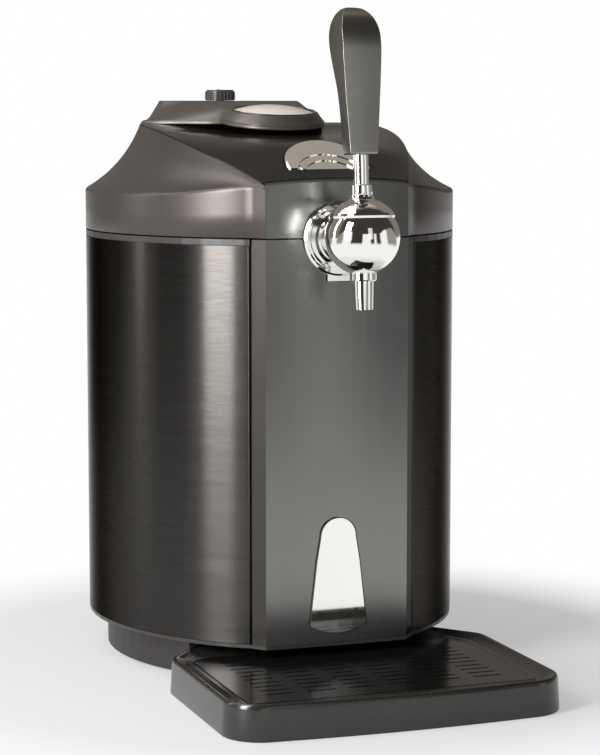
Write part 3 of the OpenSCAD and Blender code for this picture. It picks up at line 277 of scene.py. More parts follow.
M = {
    "rubber": surface("rubber", rgb(28, 28, 29), 0.75, grain=1800, bump=0.2),
    "base_plastic": surface("base_plastic", rgb(34, 31, 29), 0.5, bump=0.12),
    "trim_paint": surface("trim_paint", rgb(44, 41, 39), 0.36, bump=0.04),
    "case_plastic": surface("case_plastic", rgb(30, 30, 30), 0.6, bump=0.12),
    "wrap_metal": brushed("wrap_metal", rgb(65, 63, 61), 0.22, shift=0.26, bump=0.07, aniso=0.85,
                          edge=0.35),
    "column_gloss": column_material(),
    "chrome": surface("chrome", rgb(242, 241, 238), 0.05, metal=1.0, shift=0.02, bump=0.0,
                      rough_shift=0.02),
    "foam": surface("foam", rgb(222, 218, 204), 0.9, bump=0.5, grain=500),
    "well_aluminium": brushed("well_aluminium", rgb(186, 188, 190), 0.35, shift=0.1, aniso=0.4),
    "ceramic_white": surface("ceramic_white", rgb(230, 228, 220), 0.4),
    "rear_plastic": surface("rear_plastic", rgb(44, 42, 41), 0.5, bump=0.25, grain=1400),
    "black_plastic": surface("black_plastic", rgb(30, 30, 31), 0.45, bump=0.15),
    "board_green": surface("board_green", rgb(24, 84, 52), 0.3),
    "steel": surface("steel", rgb(178, 180, 182), 0.3, metal=1.0),
    "growler_steel": brushed("growler_steel", rgb(188, 190, 192), 0.32, turns=2400.0, shift=0.08,
                             aniso=0.5),
    "hose": surface("hose", rgb(226, 222, 210), 0.4),
    "brass": surface("brass", rgb(196, 160, 92), 0.3, metal=1.0),
    "lid_paint": surface("lid_paint", rgb(73, 68, 65), 0.33, metal=0.6, bump=0.03, slow=9.0),
    "hood_gloss": surface("hood_gloss", rgb(28, 27, 24), 0.16, bump=0.003, rough_shift=0.01,
                          specular=0.22),
    "liner_plastic": surface("liner_plastic", rgb(214, 212, 204), 0.45),
    "console_plastic": surface("console_plastic", rgb(86, 81, 76), 0.38, metal=0.6, bump=0.02),
    "dial_black": surface("dial_black", rgb(34, 34, 34), 0.16, bump=0.01),
    "dial_face": surface("dial_face", rgb(196, 188, 176), 0.5),
    "lens": lens_material(),
    "knob_plastic": surface("knob_plastic", rgb(47, 44, 41), 0.36, bump=0.06),
    "zinc": surface("zinc", rgb(140, 141, 144), 0.5, metal=0.8),
    "handle_black": surface("handle_black", rgb(154, 153, 146), 0.33, metal=1.0, bump=0.003,
                            rough_shift=0.015, grain=1300, shift=0.05, edge=0.5),
    "tray_plastic": surface("tray_plastic", rgb(31, 29, 27), 0.24, bump=0.02, coat=0.3, coat_rough=0.1),
    "grate_gloss": surface("grate_gloss", rgb(17, 16, 15), 0.16, bump=0.01),
}
slot_of = {row["node"]: row["material_slot"] for row in frame["record"]["subparts"]}

# Edges sharper than this many degrees stay sharp on the solids.
SHARP, SHARP_ON = 32, {"latch_button": 75}


def smooth(obj, angle):
    obj.data.polygons.foreach_set("use_smooth", [True] * len(obj.data.polygons))
    obj.data.set_sharp_from_angle(angle=math.radians(angle))


for node, obj in frame["nodes"].items():
    obj.data.materials.clear()
    obj.data.materials.append(M[slot_of[node]])
    smooth(obj, SHARP_ON.get(node, SHARP))


# Outlines and meshes

def place(p):
    """A point of the drawing, in the frame's metres."""
    return Vector((p[0] * MM, (p[1] + AXIS_Y) * MM, p[2] * MM))


def turned(origin, degrees, p):
    """Point p of a frame that is turned about X and moved to origin."""
    a = math.radians(degrees)
    x, y, z = p
    return (origin[0] + x, origin[1] + y * math.cos(a) - z * math.sin(a),
            origin[2] + y * math.sin(a) + z * math.cos(a))


def oval_x(y, t=0.0):
    """Half width of the oval body at y, with the oval drawn in by t."""
    if abs(y) < END_C + (END_R - t) * math.cos(END_HALF):
        return math.sqrt((SIDE_R - t) ** 2 - y * y) - SIDE_C
    return math.sqrt(max(0.0, (END_R - t) ** 2 - (abs(y) - END_C) ** 2))


def side_point(a, t):
    """Point of the oval's side at angle a, drawn in by t."""
    return (-SIDE_C + (SIDE_R - t) * math.cos(a), (SIDE_R - t) * math.sin(a))


def end_point(a, t):
    """Point of the oval's rear end at angle a, drawn in by t."""
    return ((END_R - t) * math.cos(a), END_C + (END_R - t) * math.sin(a))


def arc(c, r, a0, a1, steps):
    """Points on an arc from a0 to a1 degrees."""
    angles = [math.radians(lerp(a0, a1, i / steps)) for i in range(steps + 1)]
    return [(c[0] + r * math.cos(a), c[1] + r * math.sin(a)) for a in angles]


def circle(r, c):
    return arc(c, r, 0, 360, 96)[:-1]


def mesh_object(name, verts, faces, mat, smooth_angle=40):
    mesh = bpy.data.meshes.new(name)
    mesh.from_pydata([place(v) for v in verts], [], faces)
    bm = bmesh.new()
    bm.from_mesh(mesh)
    bmesh.ops.remove_doubles(bm, verts=bm.verts, dist=1e-6)
    bmesh.ops.recalc_face_normals(bm, faces=bm.faces)
    bm.to_mesh(mesh)
    obj = bpy.data.objects.new(name, mesh)
    bpy.context.scene.collection.objects.link(obj)
    mesh.materials.append(mat)
    smooth(obj, smooth_angle)
    return obj


def grid_faces(rows, cols, close_cols=False):
    faces = []
    for i in range(rows - 1):
        for j in range(cols if close_cols else cols - 1):
            k = (j + 1) % cols
            faces.append((i * cols + j, i * cols + k, (i + 1) * cols + k, (i + 1) * cols + j))
    return faces


def flat(rows):
    return [point for row in rows for point in row]


def tube_faces(rows, cols):
    """Closed rings of points, with a face over the first and the last one."""
    last = (rows - 1) * cols
    return grid_faces(rows, cols, True) + [tuple(reversed(range(cols))), tuple(range(last, last + cols))]


def prism(name, outline, low, high, at, mat):
    n = len(outline)
    verts = [at((x, y, low)) for x, y in outline] + [at((x, y, high)) for x, y in outline]
    return mesh_object(name, verts, tube_faces(2, n), mat)


def apply_modifiers(obj):
    dg = bpy.context.evaluated_depsgraph_get()
    done = bpy.data.meshes.new_from_object(obj.evaluated_get(dg))
    obj.modifiers.clear()
    obj.data = done


def thicken(obj, thickness):
    """Gives a skin its thickness, inwards."""
    m = obj.modifiers.new("thickness", "SOLIDIFY")
    m.thickness = thickness * MM
    m.offset = -1
    apply_modifiers(obj)


def cut(obj, cutter):
    m = obj.modifiers.new("cut", "BOOLEAN")
    m.operation = "DIFFERENCE"
    m.solver = "EXACT"
    m.object = cutter
    apply_modifiers(obj)
    bpy.data.objects.remove(cutter)


def stand_in(obj, body, node):
    """The object moves with the body, and shows in the node's place."""
    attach(obj, body)
    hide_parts(node)


# Lid shell: an upright band, and above it a concave bell that ends at the hood's seam

HOOD_SWEEP, HOOD_BACK = 560, 60
SEAM_BEND, SEAM_BEND_Y, SEAM_JOIN_Y, SEAM_WIDE = 311.6, 5, -110, 92.6
# The band is taller at the front.
BAND_MORE, BAND_MORE_FROM, BAND_MORE_RUN = 6.4, 92, 60
# The seam lies on the bell's own upper edge behind this place.
BELL_FREE_Y = 31
BELL_K = (SIDE_R - BELL_IN) / SIDE_R
CREASE_STEPS, SIDE_STEPS, END_STEPS = 4, 70, 15
# The edge between band and bell, and how small its radius gets where the bell's run is short.
EDGE_R, EDGE_SHARE, EDGE_LEAST, EDGE_STEPS, EDGE_LEAD = 2.2, 0.3, 0.05, 5, 0.6
BELL_STEPS, BELL_LEAST_RUN = 16, 0.01
FOOT_EDGE, LIP_IN, LIP_DOWN = 0.5, 0.6, 0.25
LID_SKIN = 2.4


def seam_z(y):
    """Height of the seam between the hood and the bell."""
    return BELL_H - HOOD_SWEEP + math.sqrt(HOOD_SWEEP ** 2 - min(0, y - HOOD_BACK) ** 2)


def seam_arc(y):
    """The wide arc that the seam follows between the lid's front and the dial."""
    return SEAM_WIDE - SEAM_BEND + math.sqrt(SEAM_BEND ** 2 - (SEAM_BEND_Y - y) ** 2)


def seam_x(y):
    """Half width of the hood at the seam."""
    if y < SEAM_JOIN_Y:
        along = (y + COLUMN_Y) / (SEAM_JOIN_Y + COLUMN_Y)
        return lerp(COLUMN_HALF, seam_arc(SEAM_JOIN_Y), along)
    return seam_arc(y) if y < SEAM_BEND_Y else min(SEAM_WIDE, oval_x(y, BELL_IN))


def band_z(y):
    """Height of the upright band."""
    return BAND_H + BAND_MORE * ease((-y - BAND_MORE_FROM) / BAND_MORE_RUN)


def lid_track():
    """The lid's outline from its right crease round the back to the left, each point with one drawn in."""
    track = []
    start = side_point(-SIDE_FRONT, 0)
    for i in range(CREASE_STEPS):
        u = i / CREASE_STEPS
        p = (lerp(COLUMN_HALF, start[0], u), lerp(-COLUMN_Y, start[1], u))
        track.append((p, p))
    side_back = math.pi / 2 - END_HALF
    for i in range(SIDE_STEPS + 1):
        a = lerp(-SIDE_FRONT, side_back, i / SIDE_STEPS)
        track.append((side_point(a, 0), side_point(a, BELL_IN)))
    for i in range(1, END_STEPS + 1):
        a = side_back + END_HALF * i / END_STEPS
        track.append((end_point(a, 0), end_point(a, BELL_IN)))
    return track + [((-p[0], p[1]), (-q[0], q[1])) for p, q in reversed(track[:-1])]


def bell_top(p, q):
    """Where the bell that starts above outline point p ends at the seam."""
    y = q[1] if p[1] >= 0 else p[1] * (BELL_K + (1 - BELL_K) * (p[1] / COLUMN_Y) ** 2)
    x = seam_x(y) if y < BELL_FREE_Y else abs(q[0])
    return (math.copysign(x, p[0]), y, seam_z(y))


def lid_profile(p, q):
    """Section of the lid's skin at one place of its outline, from the foot up."""
    top = bell_top(p, q)
    band = band_z(p[1])
    dx, dy, dz = top[0] - p[0], top[1] - p[1], top[2] - band
    dh = max(BELL_LEAST_RUN, math.hypot(dx, dy))

    def at(h, z):
        return (p[0] + dx / dh * h, p[1] + dy / dh * h, z)

    def bell(u):
        w = BELL_HOLLOW * 4 * u * (1 - u)
        return dh * u + w * dz, band + dz * u - w * dh

    run = math.hypot(dh, dz)
    r = min(EDGE_R, EDGE_SHARE * run + EDGE_LEAST)
    u1 = r / run
    h1, z1 = bell(u1)
    pts = [at(FOOT_EDGE, LID_Z), at(0, LID_Z + FOOT_EDGE), at(0, lerp(LID_Z, band, 0.5)),
           at(0, band - r - EDGE_LEAD), at(0, band - r)]
    for i in range(1, EDGE_STEPS):
        s = i / EDGE_STEPS
        pts.append(at(s * s * h1, (1 - s) ** 2 * (band - r) + 2 * (1 - s) * s * band + s * s * z1))
    for i in range(BELL_STEPS + 1):
        pts.append(at(*bell(lerp(u1, 1, i / BELL_STEPS))))
    return pts + [at(dh + LIP_IN, top[2] - LIP_DOWN)]


def lid_shell():
    """Skin of the lid's band and bell, outside to inside."""
    rows = [lid_profile(p, q) for p, q in lid_track()]
    obj = mesh_object("lid_shell_skin", flat(rows), grid_faces(len(rows), len(rows[0])), M["lid_paint"])
    thicken(obj, LID_SKIN)
    smooth(obj, 45)
    stand_in(obj, "lid", "lid_shell")


# Hood: a ridge that rises steeply behind the tap, bends, and runs back in one long arc

RIDGE_FOOT, RIDGE_TILT, RIDGE_EASE = 360.1, math.radians(27.3), math.radians(6.5)
RIDGE_BEND_Y, RIDGE_BEND = -113, 60
RIDGE_BEND_Z = RIDGE_FOOT + math.tan(RIDGE_TILT) * (RIDGE_BEND_Y + COLUMN_Y)
RIDGE_END_Y = RIDGE_BEND_Y + RIDGE_BEND * (math.sin(RIDGE_TILT) - math.sin(RIDGE_EASE))
RIDGE_END_Z = RIDGE_BEND_Z + RIDGE_BEND * (math.cos(RIDGE_EASE) - math.cos(RIDGE_TILT))
RIDGE_LONG = -RIDGE_END_Y / math.sin(RIDGE_EASE)
HOOD_FRONT = -COLUMN_Y + WALL + GAP
HOOD_END = 116.5
HOOD_LIP, HOOD_CLEAR, HOOD_SKIN = 0.9, 0.02, 1.9
# How the crown falls off to the sides, and how far back the front's bow reaches.
CROWN_POWER, BOW_RUN = 2.5, 8
# Under the console the hood's crown levels out.
HOOD_LEVEL_FROM, HOOD_LEVEL_RUN = -10, 45
# The front edge is rounded, and the sides turn down: how far in and down the last two points lie.
HOOD_EDGE, HOOD_EDGE_ANGLES = 1.0, (90, 72, 54, 36, 18)
HOOD_ROLL = [(0, 0.6), (0.05, 0.2)]
HOOD_COLS, HOOD_ROWS, HOOD_CROWDING = 56, 110, 1.2


def ridge(y):
    """Height of the hood's middle line."""
    if y < RIDGE_BEND_Y:
        return RIDGE_FOOT + math.tan(RIDGE_TILT) * (y + COLUMN_Y)
    if y < RIDGE_END_Y:
        c = RIDGE_BEND_Y + RIDGE_BEND * math.sin(RIDGE_TILT)
        return RIDGE_BEND_Z + math.sqrt(RIDGE_BEND ** 2 - (y - c) ** 2) - RIDGE_BEND * math.cos(RIDGE_TILT)
    d = min(0, y)
    return RIDGE_END_Z + math.sqrt(RIDGE_LONG ** 2 - d * d) - RIDGE_LONG * math.cos(RIDGE_EASE)


def hood_point(u, y):
    """A point of the hood at u from -1 at its left seam to 1 at its right one."""
    crown = (1 - abs(u) ** CROWN_POWER) * (1 - ease((y - HOOD_LEVEL_FROM) / HOOD_LEVEL_RUN))
    bow = COLUMN_BOW * (1 - u * u) * max(0, 1 - (y - HOOD_FRONT) / BOW_RUN)
    return (u * (seam_x(y) - HOOD_CLEAR), y - bow, seam_z(y) + HOOD_LIP + (ridge(y) - seam_z(y)) * crown)


def hood_row(y, drop):
    """Points across the hood at y, lowered by drop."""
    across = [math.sin(math.pi / 2 * (2 * i / HOOD_COLS - 1)) for i in range(HOOD_COLS + 1)]
    row = [(x, py, z - drop) for x, py, z in [hood_point(u, y) for u in across]]
    left, right = row[0], row[-1]
    left_edge = [(left[0] + inset, left[1], left[2] - down) for inset, down in HOOD_ROLL]
    right_edge = [(right[0] - inset, right[1], right[2] - down) for inset, down in reversed(HOOD_ROLL)]
    return left_edge + row[1:-1] + right_edge


def hood_skin():
    """The hood from its rounded front edge to its end below the console."""
    rows = []
    for a in HOOD_EDGE_ANGLES:
        t = math.radians(a)
        rows.append(hood_row(HOOD_FRONT + HOOD_EDGE * (1 - math.sin(t)), HOOD_EDGE * (1 - math.cos(t))))
    for j in range(HOOD_ROWS + 1):
        rows.append(hood_row(lerp(HOOD_FRONT + HOOD_EDGE, HOOD_END, (j / HOOD_ROWS) ** HOOD_CROWDING), 0))
    obj = mesh_object("hood_skin", flat(rows), grid_faces(len(rows), len(rows[0])), M["hood_gloss"])
    thicken(obj, HOOD_SKIN)
    cut(obj, moon_cutter())
    smooth(obj, 40)
    stand_in(obj, "lid", "hood_panel")


# Latch: its flat edge lies along X, and its frame's Y runs up the hood's slope. The hood is cut round it.

LATCH_R, LATCH_RISE, LATCH_AT, LATCH_SLOPE, LATCH_GAP = 31, 5.8, (0, -135.5, 368.3), 32, 0.9
LATCH_STEPS, LATCH_CUT = 64, (-14, 30)


def on_latch(p):
    return turned(LATCH_AT, LATCH_SLOPE, p)


def moon_outline(r, grow):
    """Half-moon: an arc above a straight edge at y = -grow."""
    a0 = math.degrees(math.asin((-grow - LATCH_RISE) / r))
    return arc((0, LATCH_RISE), r, a0, 180 - a0, LATCH_STEPS)


def moon_cutter():
    outline = moon_outline(LATCH_R + LATCH_GAP, LATCH_GAP)
    return prism("moon_cutter", outline, *LATCH_CUT, on_latch, M["hood_gloss"])


# Console: a saddle that grows out of the dial's tilted ring, with a seat for the knob at its back

DIAL_Y, DIAL_Z, DIAL_TILT, DIAL_R, DIAL_H, DIAL_TOP_R = 11, 399.2, 6.5, 39.5, 10.1, 33.4
DIAL_SLOPE = math.tan(math.radians(DIAL_TILT))
BEZEL_R, BEZEL_GAP, BEZEL_CUT = 32.4, 0.1, (DIAL_H - 3, DIAL_H + 20)
CONSOLE_H, CONSOLE_END = 417, 118
CONSOLE_Z = BELL_H + 0.1
# The top climbs behind the dial, a little steeper than the dial and from just below its ring.
CLIMB_DOWN, CLIMB_TILT, CLIMB_RUN = 0.3, DIAL_TILT + 1, 14
# Behind the dial the foot spreads to the bell's edge, and the top to just inside it.
FOOT_IN, FOOT_FROM, FOOT_RUN = 1, -4, 56
TOP_FROM, TOP_RUN, TOP_HALF, TOP_SPREAD, TOP_BACK, TOP_IN = 45, 35, 33, 0.16, 111, 5.5
FLANK_LEAST = 4
# The right flank stays narrower: half widths of its foot and top at the axis, and how they spread.
RIGHT_FOOT, RIGHT_TOP, RIGHT_SPREAD = 44, 23, 0.355
# The brim's section, as how far in from the foot and how high, and the flank's, as shares of both.
BRIM = [(7, 0), (1.0, 0), (0.2, 0.3), (0, 1.0), (0.2, 1.8), (0.8, 2.5)]
BRIM_TOP = (0.12, 3.6)
FLANK = [(0.42, 0.54), (0.7, 0.76), (0.9, 0.93), (0.97, 0.985)]
TOP_EDGE = (0.3, 1.6)
DIAL_STEPS, CONSOLE_STEPS = 30, 70
KNOB_Y, SEAT_R, SEAT_FROM, SEAT_TO = 121, 10.9, 400, 417.35


def on_dial(p):
    return turned((0, -DIAL_Y, DIAL_Z), DIAL_TILT, p)


def console_top(y):
    """Height of the console's flat top."""
    return min(CONSOLE_H, DIAL_Z + DIAL_H - CLIMB_DOWN + math.tan(math.radians(CLIMB_TILT)) * (y + DIAL_Y))


def foot_half(y):
    """Half width of the console's foot on the left."""
    return lerp(DIAL_R - FOOT_IN, oval_x(y, BELL_IN), ease((y - FOOT_FROM) / FOOT_RUN))


def top_half(y):
    """Half width of the console's top on the left."""
    wide = oval_x(min(y, TOP_BACK), BELL_IN + TOP_IN)
    return lerp(TOP_HALF + TOP_SPREAD * y, wide, ease((y - TOP_FROM) / TOP_RUN))


def soft_max(a, b, k=1.2):
    """The larger of two values, with a soft change within k."""
    d = max(0, k - abs(a - b)) / k
    return max(a, b) + d * d * k / 4


def with_dial(half, y, r):
    """The half width, or the dial's own circle of radius r where that reaches further."""
    ring = math.sqrt(max(0, r * r - (y + DIAL_Y) ** 2))
    return soft_max(half, ring) if y > -DIAL_Y else ring


def flank_foot(y, side):
    half = foot_half(y) if side < 0 else min(foot_half(y), RIGHT_FOOT + RIGHT_SPREAD * y)
    return with_dial(half, y, DIAL_R)


def flank_top(y, side):
    half = min(top_half(y), foot_half(y) - FLANK_LEAST)
    if side > 0:
        half = min(half, RIGHT_TOP + RIGHT_SPREAD * y, RIGHT_FOOT + RIGHT_SPREAD * y - FLANK_LEAST)
    return with_dial(half, y, DIAL_TOP_R)


def console_levels(foot, top, low, high):
    """Section from under the brim up to the flat top: pairs of how far out and how high."""
    levels = [(foot - inset, low + up) for inset, up in BRIM]
    levels.append((lerp(foot, top, BRIM_TOP[0]), low + BRIM_TOP[1]))
    levels += [(lerp(foot, top, u), lerp(low, high, v)) for u, v in FLANK]
    return levels + [(top - inset, high) for inset in TOP_EDGE]


def both_sides(half):
    """A row's left half, then its right half backwards."""
    return half(-1) + half(1)[::-1]


def dial_row(a):
    """A row of the dial's own front, which is round about its tilted axis."""
    levels = console_levels(DIAL_R, DIAL_TOP_R, 0, DIAL_H)

    def half(side):
        return [on_dial((side * r * math.cos(a), -r * math.sin(a), z)) for r, z in levels]

    return both_sides(half)


def console_row(y):
    """A row behind the dial's middle. Its top climbs from the ring to the console's flat top."""
    low = min(CONSOLE_Z, DIAL_Z + DIAL_SLOPE * (y + DIAL_Y))
    ring_top = DIAL_Z + DIAL_H * math.cos(math.radians(DIAL_TILT)) + DIAL_SLOPE * (y + DIAL_Y)
    high = lerp(ring_top, console_top(y), ease((y + DIAL_Y) / CLIMB_RUN))

    def half(side):
        levels = console_levels(flank_foot(y, side), flank_top(y, side), low, high)
        return [(side * x, y, z) for x, z in levels]

    return both_sides(half)


def console():
    """One closed body with the knob's seat, cut open for the dial."""
    mat = M["console_plastic"]
    rows = [dial_row(math.pi / 2 * (1 - i / DIAL_STEPS)) for i in range(DIAL_STEPS)]
    rows += [console_row(lerp(-DIAL_Y, CONSOLE_END, i / CONSOLE_STEPS)) for i in range(CONSOLE_STEPS + 1)]
    obj = mesh_object("console_body", flat(rows), grid_faces(len(rows), len(rows[0]), True), mat)
    seat = prism("knob_seat", circle(SEAT_R, (0, KNOB_Y)), SEAT_FROM, SEAT_TO, tuple, mat)
    bm = bmesh.new()
    bm.from_mesh(obj.data)
    bmesh.ops.holes_fill(bm, edges=[e for e in bm.edges if e.is_boundary], sides=0)
    bm.from_mesh(seat.data)
    bpy.data.objects.remove(seat)
    bmesh.ops.recalc_face_normals(bm, faces=bm.faces)
    bm.to_mesh(obj.data)
    cut(obj, prism("dial_cutter", circle(BEZEL_R + BEZEL_GAP, (0, 0)), *BEZEL_CUT, on_dial, mat))
    smooth(obj, 38)
    stand_in(obj, "lid", "console")


# Tap handle: a paddle along its own Z, with its face at negative Y

TAP_AT, TAP_LEAN = (0, -200, 323.5), -3.8
HANDLE_LOW, HANDLE_TOP = 56.6, 157.8
# Heights, and the place of the face, of the rear and half the width there.
HANDLE_FACE = [(56.6, -7.3), (75, -7.3), (92, -7.2), (110, -7.5), (120, -7.6), (128, -7.6)]
HANDLE_REAR = [(56.6, 7.8), (66, 7.6), (76, 7.5), (88, 7.7), (101, 9.4), (113.4, 13.4), (124.6, 17.4),
               (133, 20.1), (142, 20.9)]
HANDLE_HALF = [(56.6, 10.0), (70, 10.7), (86, 11.8), (110, 13.2), (126, 13.9), (136, 13.9)]
# Each one's rounded end: the height where it starts, its middle, reach and height, and its power.
FACE_END, REAR_END, HALF_END = (128, 15, -22.6, 30, 2), (142, 15, 5.9, 16, 2.2), (136, 2.5, 11.4, 21.8, 2)
HANDLE_CORNER, HANDLE_CORNER_SHARE, HANDLE_FOOT, CORNER_STEPS = 0.35, 0.45, 1.2, 6
# Where the sections lie: in the foot's rounded edge, up the shaft, and closer together to the top.
FOOT_LEVELS = (0, 0.15, 0.5, HANDLE_FOOT, 2.4)
SHAFT_SPAN, SHAFT_STEPS = (60, 136), 34
CROWN_SPAN, CROWN_STEPS = (137, HANDLE_TOP - 0.05), 22


def on_tap(p):
    return turned(TAP_AT, TAP_LEAN, p)


def spline(table, z):
    """Smooth curve through the points of a table of heights and values."""
    k = 0
    while k < len(table) - 2 and z > table[k + 1][0]:
        k += 1
    (z0, v0), (z1, v1) = table[k], table[k + 1]

    def slope(i):
        a, b = table[max(0, i - 1)], table[min(len(table) - 1, i + 1)]
        return (b[1] - a[1]) / (b[0] - a[0])

    h = z1 - z0
    u = max(0, min(1, (z - z0) / h))
    m0, m1 = slope(k) * h, slope(k + 1) * h
    return ((2 * u ** 3 - 3 * u * u + 1) * v0 + (u ** 3 - 2 * u * u + u) * m0
            + (-2 * u ** 3 + 3 * u * u) * v1 + (u ** 3 - u * u) * m1)


def with_end(table, end, z):
    """The table's curve, and above its last height the rounded end."""
    start, middle, reach, height, power = end
    if z < start:
        return spline(table, z)
    return middle + reach * math.sqrt(max(0, 1 - ((z - start) / height) ** power))


def rounded_box(a, b, r):
    """Outline of a rectangle of half sizes a and b with corners of radius r."""
    pts = []
    for k, (sx, sy) in enumerate(((1, 1), (-1, 1), (-1, -1), (1, -1))):
        pts += arc((sx * (a - r), sy * (b - r)), r, 90 * k, 90 * (k + 1), CORNER_STEPS)
    return pts


def handle_row(z):
    """The paddle's section at height z. Its foot has a rounded edge."""
    face, rear = with_end(HANDLE_FACE, FACE_END, z), with_end(HANDLE_REAR, REAR_END, z)
    lip = max(0, HANDLE_FOOT - (z - HANDLE_LOW))
    shrink = HANDLE_FOOT - math.sqrt(HANDLE_FOOT ** 2 - lip * lip)
    a, b = with_end(HANDLE_HALF, HALF_END, z) - shrink, (rear - face) / 2 - shrink
    outline = rounded_box(a, b, min(HANDLE_CORNER, HANDLE_CORNER_SHARE * min(a, b)))
    return [on_tap((x, (rear + face) / 2 + y, z)) for x, y in outline]


def tap_handle():
    levels = [HANDLE_LOW + d for d in FOOT_LEVELS]
    levels += [lerp(*SHAFT_SPAN, i / SHAFT_STEPS) for i in range(SHAFT_STEPS + 1)]
    levels += [lerp(*CROWN_SPAN, math.sin(math.pi / 2 * i / CROWN_STEPS)) for i in range(CROWN_STEPS + 1)]
    rows = [handle_row(z) for z in levels]
    faces = tube_faces(len(rows), len(rows[0]))
    obj = mesh_object("handle_body", flat(rows), faces, M["handle_black"], 60)
    stand_in(obj, "tap_lever", "tap_handle")


# Drip tray

TRAY_W, TRAY_FRONT, TRAY_BOW, TRAY_BACK = 244, 287, 4, 97
GRATE_HALF, GRATE_FRONT, GRATE_BACK, GRATE_TOP, GRATE_R, GRATE_CORNER = 104.6, 266, 129.5, 21.2, 14, 3
CORNER_R, SHOULDER_R, SHOULDER_Y, SHOULDER_TURN, BACK_R, BACK_X = 28, 22, 145, 40, 12, 83.9
BACK_IN_MOST = 11.5
LEDGE, RECESS_Z = 2.8, 4.4
# The outer skin from the foot up over the rim: how far in from the outline, and how high.
RIM_SKIN = [(1.6, 0), (0.5, 0.15), (0.1, 0.7), (0.02, 1.6), (0.6, 11), (1.2, 21.2), (1.5, 23.2), (2.0, 24.3),
            (2.8, 24.9), (3.6, 25), (4.5, 24.8)]
# The slope from the rim's inner edge down to the recess: shares of the way, heights and where it ends.
RIM_SLOPE = (0.15, 0.55, 0.93)
RIM_SLOPE_TOP, RIM_SLOPE_FOOT, RIM_SLOPE_END = 24.6, GRATE_TOP + 0.05, LEDGE + 0.8
# The grate's recess and the basin below: how far out from the grate's outline, and how high.
RECESS_SKIN = [(LEDGE, GRATE_TOP - 0.1), (0.4, GRATE_TOP - 0.1), (0.1, GRATE_TOP - 0.25),
               (0, GRATE_TOP - 0.7), (0, GRATE_TOP - 2.2), (-6.5, GRATE_TOP - 2.2),
               (-6.5, RECESS_Z + 1), (-7.5, RECESS_Z)]
# Steps along the front, the corner, the shoulder and the back. Both outlines have as many.
FRONT_STEPS, FRONT_CORNER_STEPS, SHOULDER_STEPS, BACK_STEPS = 12, 20, 10, 8


def tray_half(t):
    """Right half of the tray's outline, drawn in by t."""
    w = TRAY_W / 2
    corner = w - CORNER_R
    shares = [i / FRONT_STEPS for i in range(FRONT_STEPS)]
    pts = [(corner * u, -TRAY_FRONT - TRAY_BOW * (1 - u * u) + t) for u in shares]
    pts += arc((corner, -TRAY_FRONT + CORNER_R), CORNER_R - t, -90, 0, FRONT_CORNER_STEPS)
    pts += arc((w - SHOULDER_R, -SHOULDER_Y), SHOULDER_R - t, 0, SHOULDER_TURN, SHOULDER_STEPS)
    back = BACK_R - min(t, BACK_IN_MOST)
    return pts + arc((BACK_X, -TRAY_BACK - BACK_R), back, SHOULDER_TURN, 90, BACK_STEPS)


def recess_half(t):
    """Right half of the grate's outline, drawn out by t."""
    w, front = GRATE_HALF + t, -GRATE_FRONT - t
    corner = (w - GRATE_CORNER, front + GRATE_CORNER)
    back = (w - GRATE_R, -GRATE_BACK - GRATE_R + t)
    pts = [(corner[0] * i / FRONT_STEPS, front) for i in range(FRONT_STEPS)]
    pts += arc(corner, GRATE_CORNER, -90, 0, FRONT_CORNER_STEPS)
    pts += arc(back, GRATE_R, 0, SHOULDER_TURN, SHOULDER_STEPS)
    return pts + arc(back, GRATE_R, SHOULDER_TURN + 10, 90, BACK_STEPS)


def ring(half, z):
    """A whole outline from its right half, at height z."""
    return [(x, y, z) for x, y in half] + [(-x, y, z) for x, y in reversed(half[1:])]


def drip_tray():
    """Rim, slope and basin in one closed skin."""
    rows = [ring(tray_half(t), z) for t, z in RIM_SKIN]
    edge, inner = ring(tray_half(RIM_SKIN[-1][0]), 0), ring(recess_half(RIM_SLOPE_END), 0)
    for u in RIM_SLOPE:
        z = lerp(RIM_SLOPE_TOP, RIM_SLOPE_FOOT, u)
        rows.append([(lerp(a[0], b[0], u), lerp(a[1], b[1], u), z) for a, b in zip(edge, inner)])
    rows += [ring(recess_half(t), z) for t, z in RECESS_SKIN]
    faces = tube_faces(len(rows), len(rows[0]))
    stand_in(mesh_object("tray_body", flat(rows), faces, M["tray_plastic"], 42), "drip_tray", "drip_tray")


lid_shell()
hood_skin()
console()
tap_handle()
drip_tray()


# Stage: a white table and backdrop. Gloss sees the dark studio before them, with its bright windows.

FLOOR_HALF = 6
FLOOR_PAINT = (0.5, 0.5, 0.5, 1)
# The floor's own light is mixed with its lit paint, so that it comes out white and keeps a shadow.
FLOOR_GLOW, FLOOR_GLOW_SHARE = 1.0, 0.4
# Between these distances its own light takes over, so that no horizon shows.
FLOOR_NEAR = (0.15, 0.42)
# Between these distances gloss no longer sees the white table, but the studio behind it.
TABLE_EDGE = (0.9, 1.7)
FILL_LIGHT = 0.42
STUDIO_GREY = rgb(150, 148, 144)
STUDIO_DARK = rgb(60, 59, 57)
STUDIO_BROWN = rgb(60, 57, 54)
STUDIO_SOFT = rgb(130, 124, 117)
STUDIO_BEIGE = rgb(196, 188, 178)
# Direction round the object in degrees, from the front clockwise as seen from above, and what gloss sees.
STUDIO_ROUND = [(0, WHITE), (19, WHITE), (21, STUDIO_BROWN), (52, STUDIO_BROWN), (54, WHITE), (78, WHITE),
                (84, STUDIO_GREY), (100, STUDIO_GREY), (106, WHITE), (121, WHITE), (130, STUDIO_GREY),
                (165, STUDIO_GREY), (175, WHITE), (250, WHITE), (262, STUDIO_GREY), (298, STUDIO_GREY),
                (304, WHITE), (322, WHITE), (328, STUDIO_DARK), (336, STUDIO_DARK), (341, WHITE),
                (344, WHITE), (347, STUDIO_DARK), (354, STUDIO_DARK), (358, WHITE)]
